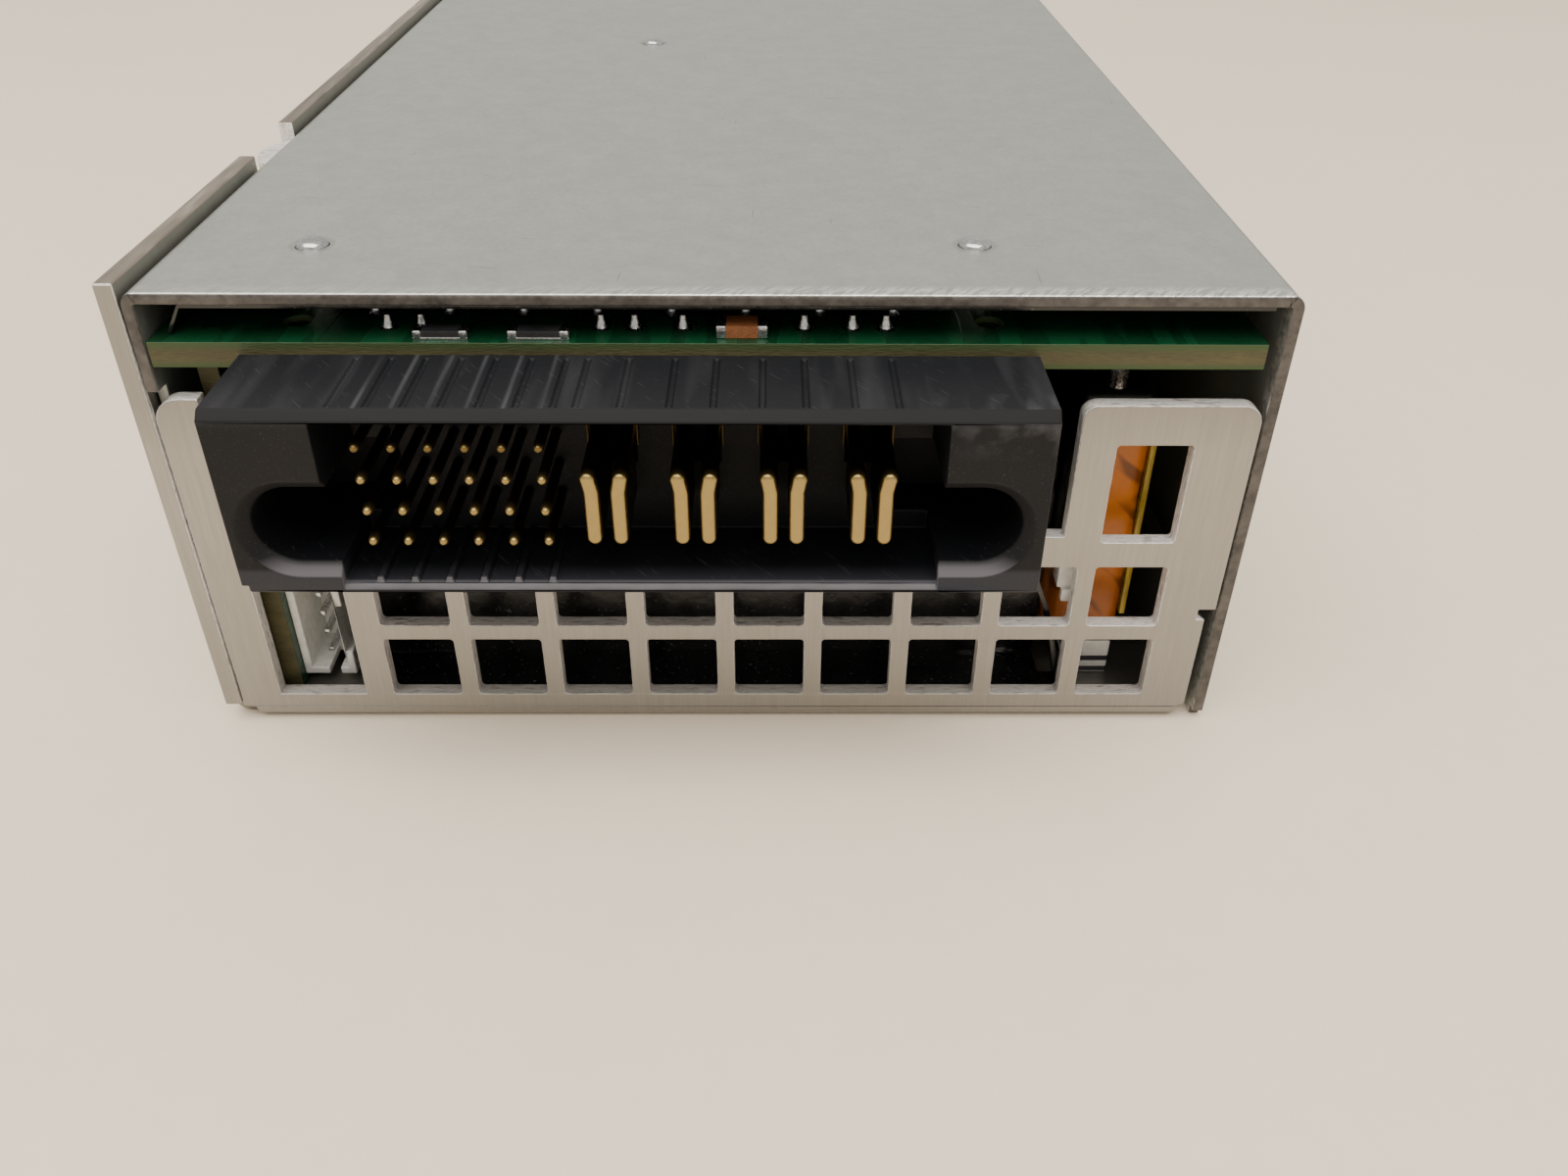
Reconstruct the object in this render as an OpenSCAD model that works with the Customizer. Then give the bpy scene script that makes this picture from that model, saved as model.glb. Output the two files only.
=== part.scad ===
// Hot-plug rack battery module.
// Frame: origin in the middle of the connector end, on the underside; +Y runs
// from the connector end to the handle end, +Z is up, +X is the latch side.

/* [Case] */
// Width over the two side walls
case_w = 86.4; // [86.4:0.1:90]
// Height to the cover's top face
cover_h = 39.8; // [39.8:0.1:44]
// Length from the connector end plate to the handle end panel
case_l = 196; // [190:1:230]
// Thickness of the folded base sheet
base_t = 1.4; // [1.2:0.1:1.5]
// Thickness of the folded cover sheet
cover_t = 0.9; // [0.8:0.1:1]
// Height of the left wall, which stands a little above the cover
wall_h = 40.5; // [40.4:0.1:45]

/* [End plate] */
// Side of each square vent hole
vent_w = 5.95; // [5:0.05:6]
// Distance from one vent hole to the next
vent_pitch = 7.45; // [7:0.05:7.5]
// Columns of vent holes under the connector
vent_cols = 8; // [4:1:8]
// Height of the big cut-out's lower edge, under the connector
cutout_z = 19.35; // [19:0.05:20]

/* [Connector] */
// Width of the connector housing
conn_w = 58.6; // [57:0.1:60]
// Height of the connector housing's front
conn_h = 14.8; // [14:0.1:15]
// How far the housing stands out in front of the end plate
conn_out = 9.3; // [8:0.1:10]
// Pitch of the signal pins
pin_pitch = 2.54; // [2.54:0.01:2.54]
// Radius of a signal pin
pin_r = 0.38; // [0.3:0.01:0.4]
// Pitch of the pairs of power blades
blade_pitch = 6.35; // [6.35:0.01:6.4]

/* [Battery pack] */
// Radius of a cell with its sleeve
cell_r = 9.2; // [9:0.1:9.3]
// Length of a cell
cell_l = 65; // [60:0.5:65]
// Distance between the cells' axes
cell_pitch = 19.2; // [19:0.1:19.2]

/* [Handle] */
// Distance between the two legs of the bail
bail_w = 52; // [46:1:52]
// Height of the loop of the bail
bail_h = 23; // [18:1:24]
// Radius of the bail's rod
bail_r = 2; // [1.5:0.1:2]

/* [Latch] */
// Length of the latch arm from its pivot to its end
latch_l = 41; // [38:1:44]
// Height of the latch arm
latch_h = 12; // [8:1:12]

/* [Hidden] */
$fn = 32;
eps = 0.01;

// Case edges
left_x = -case_w / 2;
right_x = case_w / 2;
bend_r = 1.6;
cover_z = cover_h - cover_t;
cover_bend = 1.1;
wall_in = left_x + base_t;
cover_in = right_x - cover_t;
seam = 0.2;
plate_l = wall_in + seam;
plate_r = cover_in - 0.2;
flange_r = plate_r - 0.75;
flange_h = 11.1;
flap_x = wall_in + 0.1;
flap_z = 25;

// End plate openings
sill_z = 3;
upright_z = 31.5;
tab_z = 31.1;
upright_w = 3.5;
slot_w = vent_pitch;
vent_x = plate_l + upright_w + slot_w + 2.45;
tab_x = vent_x + vent_cols * vent_pitch - 3;
bar_z = cutout_z - 2.9;
notch_y = 30.5;
notch_l = 10.8;
notch_z = 37.6;

// Connector
conn_x = left_x + 38.4;
conn_top = 35.2;
conn_z = conn_top - conn_h;
pin_x = left_x + 19.15;
pin_z = 24.45;
pin_tip = conn_out - 0.6;
blade_x = left_x + 36.15;
top_grooves = concat([for (i = [0:6]) pin_x + (i - 0.5) * pin_pitch],
  [for (i = [0:3], s = [-1.5, 1.5]) blade_x + i * blade_pitch + s]);
guide_x = 24.6;
guide_z = 25.8;
guide_r = 3.1;
cavity_w = 43.6;
peg_x = 26;

// Boards
board_z = 34.1;
board_t = 2;
board_top = board_z + board_t;
board_l = left_x + 2.6;
board_r = right_x - 2;
board_len = 180;
side_x = left_x + 4.5;
side_t = 1.6;
header_z = 2.4;

// Battery pack
tray_l = left_x + 13.5;
tray_r = left_x + 72.2;
lean_x = tray_r + 1.8;
tray_z = 1.6;
film_t = 0.4;
choke_r = left_x + 78.8;
pack_x = (tray_l + tray_r) / 2;
cell_z = 12;
cell_y = [12, 82];
cell_x = [for (i = [-1:1]) pack_x + i * cell_pitch];
cell_top = cell_z + cell_r;
lead_x = [-16.4, -3.4];

// Places that repeat
stud_at = [[-30.7, 9.9], [20.6, 10.3], [-9.7, 79.9], [20.6, 122], [-30.7, 152], [20.6, 166]];
side_screw_y = [52, 148];
side_screw_z = 6;
wall_screw_z = 29;
wall_sink = 1.1;
cover_sink = 0.75;

// Handle and latch
bail_x = -3;
bail_y = case_l + 5;
bail_z = 33;
bail_bend = 6;
stub_r = 1.5;
run_gap = 0.05;
ear_t = 1.6;
pivot_x = right_x - 4.3;
pivot_y = case_l - 28;
latch_z = 14;
latch_t = 1.2;
latch_in = pivot_x + 0.7;
web_x = pivot_x - 6.3;
foot_screw_at = [[-25, case_l - 8], [18, case_l - 8]];
bracket_screw_at = [[web_x - 3.4, pivot_y], [web_x - 3.4, pivot_y + 10]];
floor_screw_at = concat(foot_screw_at, bracket_screw_at);
pivot_r = 1;
seat_x = web_x + 1.2;
spring_y = pivot_y + 10;
spring_r = 2.3;
spring_wire = 0.35;
spring_turns = 5;
spring_sides = 8;
led_x = left_x + 6.4;
led_z = [26, 20, 14];

// A rectangle with round corners, from its lower left corner
module round_rect(w, h, r) {
  translate([r, 0]) square([w - 2 * r, h]);
  translate([0, r]) square([w, h - 2 * r]);
  for (x = [r, w - r], y = [r, h - r]) translate([x, y]) circle(r);
}

// The waste that rounds a corner at the origin whose body lies towards +X, +Y
module corner_waste(r) {
  difference() {
    translate([-1, -1]) square(r + 1);
    translate([r, r]) circle(r);
  }
}

// A bent corner of sheet: outer radius r, corner at the origin, legs to +X and +Y
module sheet_bend(r, t) {
  intersection() {
    square(r);
    translate([r, r]) difference() {
      circle(r);
      circle(r - t);
    }
  }
}

// Turns an XZ outline into a plate that runs from y0 to y0 + len
module along_y(y0, len) {
  translate([0, y0 + len, 0]) rotate([90, 0, 0]) linear_extrude(len) children();
}

// Turns a YZ outline into a plate that runs from x0 to x0 + len
module along_x(x0, len) {
  translate([x0, 0, 0]) rotate([90, 0, 90]) linear_extrude(len) children();
}

// A box given by its low corner and its size
module block(x, y, z, w, l, h) {
  translate([x, y, z]) cube([w, l, h]);
}

// A round bar along Y or X
module bar_y(x, y, z, r, l) {
  translate([x, y, z]) rotate([-90, 0, 0]) cylinder(h = l, r = r);
}

module bar_x(x, y, z, r, l) {
  translate([x, y, z]) rotate([0, 90, 0]) cylinder(h = l, r = r);
}

// Cross-section of the base: left wall, floor and right flange
module base_section() {
  translate([left_x, bend_r]) square([base_t, wall_h - bend_r]);
  translate([left_x, 0]) sheet_bend(bend_r, base_t);
  translate([left_x + bend_r, 0]) square([flange_r - left_x - 2 * bend_r, base_t]);
  translate([flange_r, 0]) mirror([1, 0]) sheet_bend(bend_r, base_t);
  translate([flange_r - base_t, bend_r]) square([base_t, flange_h - bend_r]);
}

// Outline of the perforated end plate, as seen from the connector end
module plate_outline() {
  slot_x = plate_l + upright_w;
  difference() {
    polygon([[plate_l, 1.6], [plate_l, upright_z], [slot_x, upright_z], [slot_x, 20.2],
      [slot_x + 0.5, 19.9], [slot_x + 0.5, 19.3], [slot_x, 19],
      [slot_x, sill_z], [slot_x + slot_w, sill_z], [slot_x + slot_w, cutout_z],
      [tab_x, cutout_z], [tab_x, tab_z], [plate_r, tab_z], [plate_r, flange_h + 1],
      [flange_r - 0.7, flange_h + 1], [flange_r - 0.7, flange_h], [flange_r, flange_h],
      [flange_r, 1.9], [flange_r - 0.7, 1.5]]);
    translate([plate_l, upright_z]) mirror([0, 1]) corner_waste(2);
    translate([tab_x, tab_z]) mirror([0, 1]) corner_waste(1.1);
    translate([plate_r, tab_z]) rotate(180) corner_waste(1.6);
    for (c = [0:vent_cols], z = [sill_z, sill_z + vent_pitch])
      translate([vent_x + c * vent_pitch, z]) round_rect(vent_w, vent_w, 0.35);
    translate([vent_x + vent_cols * vent_pitch, cutout_z - 0.55]) round_rect(vent_w, 8.9, 0.3);
  }
}

module chassis_base() {
  color("#b9b5ab") difference() {
    union() {
      along_y(base_t, case_l - 2 * base_t) base_section();
      block(left_x, 0, bend_r + 0.2, base_t, 2, wall_h - bend_r - 0.2);
      along_y(0, base_t) plate_outline();
      along_x(plate_l + 1, flange_r - plate_l - 1.7) {
        sheet_bend(bend_r, base_t);
        translate([0, bend_r]) square([base_t, 1]);
        translate([bend_r - eps, 0]) square([1, base_t]);
      }
    }
    block(left_x - 1, notch_y, notch_z, 3, notch_l, 5);
    for (y = side_screw_y) {
      bar_x(flange_r - 3, y, side_screw_z, 1.25, 4);
      translate([left_x, y, wall_screw_z]) screw_sink(wall_sink);
    }
    for (p = floor_screw_at) translate([p[0], p[1], -1]) cylinder(h = 4, r = 1.25);
  }
}

// Cross-section of the cover: left flap, top and right wall
module cover_section() {
  translate([flap_x, flap_z]) square([cover_t, cover_h - cover_bend - flap_z]);
  translate([flap_x, cover_h]) mirror([0, 1]) sheet_bend(cover_bend, cover_t);
  translate([flap_x + cover_bend, cover_z]) square([right_x - flap_x - 2 * cover_bend, cover_t]);
  translate([right_x, cover_h]) rotate(180) sheet_bend(cover_bend, cover_t);
  translate([cover_in, 0]) square([cover_t, cover_h - cover_bend]);
}

module top_cover() {
  color("#a9adad") difference() {
    union() {
      along_y(0.1, case_l - 0.3) cover_section();
      intersection() {
        translate([flap_x + 4, notch_y + 4.7, notch_z + 0.4]) cylinder(h = 1.5, r = 5.4);
        block(left_x + 0.1, notch_y, notch_z, 2, notch_l, 3);
      }
    }
    for (p = stud_at) translate([p[0], p[1], 30]) cylinder(h = 20, r = 1.3);
    block(cover_in - 1, case_l - 17.5, 12.8, 4, 12, 14.4);
    for (y = side_screw_y) {
      translate([right_x, y, side_screw_z]) mirror([1, 0, 0]) screw_sink(cover_sink);
      bar_x(flap_x - 1, y, wall_screw_z, 1.25, 4);
    }
    block(cover_in - 1, -1, -1, 4, 1.9, 1.9);
    block(flap_x - 1, -1, flap_z - 1, 4, base_t + 1.2, upright_z + 1.5 - flap_z);
  }
}

// Threaded standoffs clinched in the cover; their shanks show as small domes
module cover_studs() {
  color("#c4c6c6") for (p = stud_at) translate([p[0], p[1], 0]) {
    difference() {
      translate([0, 0, board_top]) cylinder(h = cover_z - board_top, r = 2.5);
      translate([0, 0, board_top - 1]) cylinder(h = 3, r = 1.25);
    }
    translate([0, 0, cover_z - eps]) cylinder(h = cover_t + 2 * eps, r = 1.25);
    intersection() {
      translate([0, 0, cover_h - 1.4]) sphere(2);
      translate([0, 0, cover_h]) cylinder(h = 2, r = 1.25);
    }
  }
}

// Countersunk hole along +X, its mouth at the origin
module screw_sink(depth) {
  rotate([0, 90, 0]) {
    translate([0, 0, -eps]) cylinder(h = depth, r1 = 1.35 + depth, r2 = 1.35);
    cylinder(h = 3, r = 1.3);
  }
}

// Countersunk screw along +X with a cross recess, its head's face at the origin
module side_screw(depth, len) {
  rotate([0, 90, 0]) difference() {
    union() {
      translate([0, 0, 0.05]) cylinder(h = depth, r1 = 1.2 + depth, r2 = 1.2);
      translate([0, 0, 0.05]) cylinder(h = len, r = 1.2);
    }
    for (a = [45, 135]) rotate(a) block(-1, -0.22, -0.1, 2, 0.44, 0.8);
  }
}

module cover_screws() {
  color("#8d8f90") for (y = side_screw_y) {
    translate([left_x, y, wall_screw_z]) side_screw(wall_sink, base_t + 3);
    translate([right_x, y, side_screw_z]) mirror([1, 0, 0]) side_screw(cover_sink, 4.5);
  }
}

// Black insulating film under the cover, its left edge turned down
module cover_film() {
  film_z = cover_z - 0.4;
  color("#1b1c1e") difference() {
    along_y(1.2, case_l - 22) polygon([[left_x + 5, film_z], [right_x - 1.6, film_z],
      [right_x - 1.6, film_z - 0.3], [left_x + 5.1, film_z - 0.3], [left_x + 4.05, board_top + 0.15],
      [left_x + 3.75, board_top + 0.2]]);
    for (p = stud_at) translate([p[0], p[1], 30]) cylinder(h = 12, r = 2.9);
  }
}

// Handle end panel with vents, lamp holes and the slot for the latch arm
module end_panel() {
  panel_l = flap_x + cover_t + 0.1;
  panel_w = cover_in - 0.3 - panel_l;
  panel_h = cover_z - 0.8 - base_t;
  color("#b4b2ab") difference() {
    along_y(case_l - base_t, base_t) translate([panel_l, base_t + 0.2]) round_rect(panel_w, panel_h, 0.8);
    for (c = [0:5], r = [0:3]) along_y(case_l - 5, 10)
      translate([bail_x - 21.5 + c * vent_pitch, 5.6 + r * vent_pitch]) round_rect(vent_w, vent_w, 0.55);
    for (z = led_z) bar_y(led_x, case_l - 5, z, 1.4, 10);
    along_y(case_l - 5, 10) translate([pivot_x - 5, latch_z - 1.5]) round_rect(7.8, latch_h + 3, 1);
    for (x = [-1, 1], z = [30, 36]) bar_y(bail_x + x * (bail_w / 2 + 7.5), case_l - 5, z, 1.05, 10);
  }
}

// Strip welded inside the end panel's lower edge, which screws to the floor
module panel_foot() {
  color("#b4b2ab") difference() {
    block(flap_x + 3, case_l - 13, base_t + 0.2, plate_r - flap_x - 9, 13 - base_t, 1);
    for (p = foot_screw_at) translate([p[0], p[1], 0]) cylinder(h = 5, r = 1.25);
  }
}

// Screws that hold the end panel's foot and the latch bracket on the floor
module floor_screws() {
  color("#8d8f90") for (p = floor_screw_at) {
    translate([p[0], p[1], 0.1]) cylinder(h = 3, r = 1.2);
    translate([p[0], p[1], base_t + 1.25]) cylinder(h = 1.2, r = 2.1);
  }
}

module main_board() {
  color("#1f5a38") difference() {
    along_y(0, board_len) translate([board_l, board_z]) square([board_r - board_l, board_t]);
    for (p = stud_at) translate([p[0], p[1], board_z - 1]) cylinder(h = 4, r = 1.5);
    for (x = [board_l, board_r]) block(x - 1.5, 96, board_z - 1, 3, 4, 4);
    for (s = [-1, 1]) translate([conn_x + s * peg_x, 4, board_z - 1]) cylinder(h = 4, r = 1.05);
  }
}

// Pan-headed screws that hold the board up against the studs
module board_screws() {
  color("#c9cacb") for (p = stud_at) translate([p[0], p[1], 0]) difference() {
    union() {
      translate([0, 0, board_z - 1.8]) cylinder(h = 1.8, r = 2.6);
      translate([0, 0, board_z - 0.1]) cylinder(h = board_t + 1.4, r = 1.2);
    }
    translate([0, 0, board_z - 2.2]) cylinder(h = 1.2, r = 0.9, $fn = 6);
  }
}

// The open front of the connector housing, as seen from the connector end
module cavity_outline() {
  translate([-cavity_w / 2, 0.65]) square([cavity_w, conn_h - 1.55]);
}

module guide_outline(r) {
  for (s = [-1, 1]) translate([s * guide_x, guide_z - conn_z]) {
    circle(r);
    translate([s > 0 ? -6 : 0, -r]) square([6, 2 * r]);
  }
}

// Sloped lead-in around the mouth of both guide sockets
module guide_funnel() {
  lip = 0.95;
  for (s = [-1, 1]) translate([s * guide_x, -conn_out - eps, guide_z - conn_z]) {
    rotate([-90, 0, 0]) cylinder(h = lip, r1 = guide_r + lip, r2 = guide_r);
    along_x(s > 0 ? -6 : 0, 6)
      polygon([[0, -guide_r - lip], [0, guide_r + lip], [lip, guide_r], [lip, -guide_r]]);
  }
}

module connector_housing() {
  color("#2a2b2e") for (c = [0:5])
    block(pin_x + c * pin_pitch - 0.25, 0.6 - conn_out, conn_z + 0.63, 0.5, conn_out - 2, 0.35);
  color("#2a2b2e") difference() {
    translate([conn_x, 0, conn_z]) {
      along_x(-conn_w / 2, conn_w) polygon([[0, 0], [0, conn_h], [0.7 - conn_out, conn_h],
        [-conn_out, conn_h - 0.7], [-conn_out, 0.15], [0.15 - conn_out, 0]]);
      block(-conn_w / 2, -eps, 0, conn_w, 6.8, board_z - conn_z);
      for (s = [-1, 1]) translate([s * peg_x, 4, board_z - conn_z - 1]) cylinder(h = 2.6, r = 1);
    }
    translate([conn_x, 0, conn_z]) {
      along_y(-conn_out - 1, conn_out - 0.2) cavity_outline();
      along_y(-conn_out - 1, conn_out + 4) guide_outline(guide_r);
      guide_funnel();
      along_x(-cavity_w / 2, cavity_w) polygon([[-conn_out - 1, 0.25], [-conn_out, 0.25],
        [0.5 - conn_out, 0.75], [0.5 - conn_out, 1.5], [-conn_out - 1, 1.5]]);
      for (x = top_grooves) block(x - conn_x - 0.2, 1 - conn_out, conn_h - 0.15, 0.4, conn_out - 1.6, 1);
    }
    for (i = [0:3]) block(blade_x + i * blade_pitch - 1.6, -2.2, 27, 3.2, 3.4, 6.6);
    block(left_x + 8.7, -conn_out - 1, 19.4, 0.9, 2.4, 1.6);
  }
}

// Signal pins, each with a small rounded tip
module signal_pins() {
  color("#c8a54c") for (c = [0:5], r = [0:3]) {
    x = pin_x + c * pin_pitch;
    z = pin_z + r * pin_pitch;
    bar_y(x, 0.3 - pin_tip, z, pin_r, pin_tip + 1);
    translate([x, 0.3 - pin_tip + eps, z]) rotate([90, 0, 0]) cylinder(h = 0.3, r1 = pin_r, r2 = 0.24);
  }
}

// Section of one power blade: rounded at both ends, its top leaning outwards
module blade_section() {
  polygon([[-0.55, 0.5], [-0.55, 4.3], [-0.35, 5.3], [0.75, 5.3], [0.55, 4.3], [0.55, 0.5]]);
  translate([0, 0.5]) circle(0.55);
  translate([0.2, 5.3]) circle(0.55);
}

module power_blades() {
  color("#b9964a") for (i = [0:3], s = [-1, 1]) {
    translate([blade_x + i * blade_pitch, 0, pin_z - 0.2]) mirror([s < 0 ? 1 : 0, 0, 0]) {
      along_y(-pin_tip, pin_tip + 1) translate([0.95, 0]) blade_section();
      block(1.5, -2, 4.6, 0.4, 3, 3.6);
    }
  }
}

// Tails of the connector's contacts, soldered on the board's upper side
module solder_joints() {
  tails = [19.5, 22, 35.3, 37.8, 41.4, 50.4, 54, 56.5];
  color("#c9ccd0") {
    for (u = tails) translate([left_x + u, 2.9, board_top]) cylinder(h = 1.1, r1 = 0.75, r2 = 0.3);
    for (c = [0:7]) translate([left_x + 18 + c * 5.6, 5.4, board_top]) cylinder(h = 0.9, r1 = 0.8, r2 = 0.3);
  }
}

// A small part with metal ends, its long side along X
module chip_part(x, y, w, l, h) {
  block(x, y, board_top, w, l, h);
}

module chip_capacitors() {
  color("#8a5a3c") {
    chip_part(0.7, 0.8, 3.8, 2.2, 1);
    for (c = [0:4]) chip_part(-32 + c * 6.5, 20, 3.2, 1.6, 0.9);
    for (c = [0:3]) chip_part(-6 + c * 7, 31, 3.2, 2.5, 1.2);
  }
}

module shunt_resistors() {
  color("#c9cbcc") {
    chip_part(-21.4, 0.5, 4, 1.4, 0.7);
    chip_part(-14.5, 0.5, 4.5, 1.4, 0.7);
    for (c = [0:2]) chip_part(8 + c * 9, 44, 6.4, 3.2, 0.8);
  }
}

module control_chips() {
  color("#1d1e20") {
    for (p = [[-30, 46, 9], [-12, 52, 7], [-30, 100, 7], [2, 96, 10], [-14, 128, 7]])
      chip_part(p[0], p[1], p[2], p[2], 1.1);
    for (c = [0:3]) chip_part(-32 + c * 8, 24, 5, 4, 1.2);
  }
}

// Power transistors under the board
module power_transistors() {
  color("#202225") for (c = [0:5]) block(-30 + c * 9.4, 34, board_z - 2.3, 6.6, 9.8, 2.3);
}

module bulk_capacitors() {
  color("#27405e") for (p = [[-28, 58], [-28, 70], [-28, 82], [29, 58], [29, 70]])
    translate([p[0], p[1], board_z - 10.8]) cylinder(h = 10.8, r = 5);
}

module choke_cores() {
  color("#34363a") for (x = [-14, 6]) difference() {
    block(x, 56, board_z - 10, 15, 14, 10);
    block(x + 2.5, 55, board_z - 7.6, 10, 16, 5.2);
  }
}

module choke_windings() {
  color("#b4622f") for (x = [-14, 6]) block(x + 2.9, 55.4, board_z - 7.2, 9.2, 15.2, 4.4);
}

module board_fuse() {
  color("#d8d6cc") block(14, 100, board_z - 5, 7, 12, 5);
}

// Upright board beside the left wall
module side_board() {
  color("#5f6440") block(side_x, 2.6, 1.9, side_t, 46, board_z - 1.9);
}

// White side-entry header: a shroud that opens towards the connector end
module balance_header() {
  x = side_x + side_t;
  color("#d9dad6") difference() {
    block(x, 3.6, header_z, 4.6, 7.4, 9.9);
    block(x + 0.7, 2.6, header_z + 0.7, 3.2, 6.2, 8.5);
    for (z = [header_z - 1, header_z + 8.9]) block(x + 2.2, 2.6, z, 1, 4.4, 2);
    block(x + 4, 2.6, header_z + 2.5, 1, 4.4, 4.9);
  }
}

module balance_pins() {
  color("#cfd0cc") for (i = [0:3])
    block(side_x + side_t + 2.1, 4.6, header_z + 1.7 + i * 2, 0.5, 5, 0.5);
}

module side_board_chips() {
  x = side_x + side_t;
  color("#202225") {
    block(x, 18, 9, 1.1, 8, 8);
    block(x, 31, 11, 1.1, 5, 6);
    for (z = [21, 24, 27]) block(x, 20, z, 0.9, 3.2, 1.6);
  }
}

// Folded black film around the cells; the front of its right wall leans over
module film_tray() {
  lean_line = [[0, tray_z], [1.9, 9.9], [3.9, 15], [4.7, 18.5]];
  x0 = tray_l;
  x1 = tray_r;
  color("#141517") {
    along_y(8, 144) {
      translate([x0, tray_z]) square([x1 - x0, film_t]);
      for (x = [x0, x1 - film_t]) translate([x, tray_z]) square([film_t, 20.4]);
    }
    along_y(7.6, film_t) translate([x0, tray_z]) square([x1 - x0, 20.4]);
    along_y(1.9, 6) {
      translate([x0, tray_z]) square([x1 - x0, film_t]);
      translate([x0, tray_z]) square([film_t, 17]);
    }
    along_y(1.9, 2.5) {
      translate([x0, tray_z]) square([lean_x - x0, film_t]);
      polygon([for (p = lean_line) [lean_x - p[0], p[1]], for (i = [3:-1:0])
        [lean_x - lean_line[i][0] - film_t, lean_line[i][1]]]);
    }
  }
}

module battery_cells() {
  color("#3f6fa3") for (x = cell_x, y = cell_y) bar_y(x, y, cell_z, cell_r, cell_l);
}

// Raised positive ends of the cells
module cell_vents() {
  color("#c7c9ca") for (i = [0:2], j = [0:1]) {
    y = (i + j) % 2 == 0 ? cell_y[j] - 0.3 : cell_y[j] + cell_l;
    bar_y(cell_x[i], y, cell_z, 3.2, 0.3);
  }
}

// Moulded frames that space the cells
module cell_holders() {
  color("#303236") for (y = [14, 68, 85, 139]) difference() {
    block(tray_l + 0.7, y, tray_z + 0.6, tray_r - tray_l - 1.4, 6, cell_top + 0.8 - tray_z - 0.6);
    for (x = cell_x) bar_y(x, y - 1, cell_z, cell_r + 0.05, 8);
  }
}

module nickel_strips() {
  ends = [cell_y[0] - 0.6, cell_y[0] + cell_l + 0.3, cell_y[1] - 0.6, cell_y[1] + cell_l + 0.3];
  color("#b7b8b4") for (k = [0:3]) {
    from = k % 2 == 0 ? cell_x[0] : cell_x[1];
    block(from - 4, ends[k], cell_z - 4, cell_pitch + 8, 0.3, 8);
    block(k % 2 == 0 ? cell_x[2] - 4 : cell_x[0] - 4, ends[k], cell_z - 4, 8, 0.3, 8);
  }
}

// Soft block that holds the pack against the front of its tray
module foam_pad() {
  color("#2c2d2f") block(tray_l + 1, 152.4, base_t + 0.2, tray_r - tray_l - 2, 7, 19);
}

// Temperature sensor on the middle cell
module sensor_bead() {
  color("#2b2c2e") translate([cell_x[1], 100, cell_top + 1.2]) rotate([-90, 0, 0]) cylinder(h = 5, r = 1.1);
}

module pack_socket() {
  color("#e2e0d6") difference() {
    block(lead_x[0] - 3, 98, board_z - 8, lead_x[1] - lead_x[0] + 6, 8, 8);
    block(lead_x[0] - 2, 100, board_z - 7, lead_x[1] - lead_x[0] + 4, 8, 5.4);
  }
}

module pack_plug() {
  color("#eeece2") block(lead_x[0] - 1.7, 100.4, board_z - 6.7, lead_x[1] - lead_x[0] + 3.4, 9.6, 4.8);
}

// A lead from the plug along the cells and down to a nickel strip
module pack_lead(x) {
  z = board_z - 4.3;
  r = 1.1;
  turn = 3;
  y1 = cell_y[1] + cell_l + 0.6 + r;
  bar_y(x, 110, z, r, y1 - turn - 110);
  translate([x, y1 - turn, z - turn]) rotate([90, 0, 90]) rotate_extrude(angle = 90)
    translate([turn, 0]) circle(r);
  translate([x, y1, cell_z]) cylinder(h = z - turn - cell_z, r = r);
}

module lead_red() {
  color("#a52a24") pack_lead(lead_x[0]);
}

module lead_black() {
  color("#1c1c1d") pack_lead(lead_x[1]);
}

// Choke wrapped in orange film tape, in the narrow bay beside the cells
module taped_choke() {
  color("#b5651d") block(tray_r + 0.2, 4.6, 6, choke_r - tray_r - 0.2, 34, 24);
}

// The choke's tails, which go up to the board
module choke_pins() {
  color("#8d8378") for (y = [6, 36]) translate([tray_r + 3.2, y, 30]) cylinder(h = board_z - 30, r = 0.9);
}

// Yellow tape along the choke's edge
module margin_tape() {
  color("#a08a2c") {
    block(choke_r, 4.8, 8.2, 0.5, 32, 20);
    block(tray_r + 0.4, 4.8, 5.3, choke_r - tray_r - 0.6, 28, 0.7);
  }
}

// Plain label block under the choke
module blank_label() {
  color("#d8d8d4") block(tray_r + 2.6, 4.9, base_t + 0.1, choke_r - tray_r - 2.8, 20, 3.6);
}

module sensor_plug() {
  color("#d9dad6") {
    block(tray_r + 0.1, 2.6, 12.6, 1.5, 1.9, 3.4);
    block(tray_r + 0.5, 2.2, 11.4, 0.9, 0.8, 1.3);
  }
}

// Small upright board behind the lamps, soldered under the main board
module led_board() {
  color("#1f5a38") block(led_x - 2.6, case_l - 18, 10, 5.2, 1.6, board_z - 10);
}

module status_leds() {
  color("#dfe6df") for (z = led_z) block(led_x - 1, case_l - 16.4, z - 0.8, 2, 1.1, 1.6);
}

// Clear rods that carry the lamps' light to the panel
module light_pipes() {
  color("#e8ecee") for (z = led_z) {
    bar_y(led_x, case_l - 15.2, z, 1.3, 15.5);
    bar_y(led_x, case_l - base_t - 1.1, z, 2, 1);
    intersection() {
      translate([led_x, case_l - 0.9, z]) sphere(1.75);
      bar_y(led_x, case_l + 0.2, z, 1.25, 2);
    }
  }
}

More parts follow.
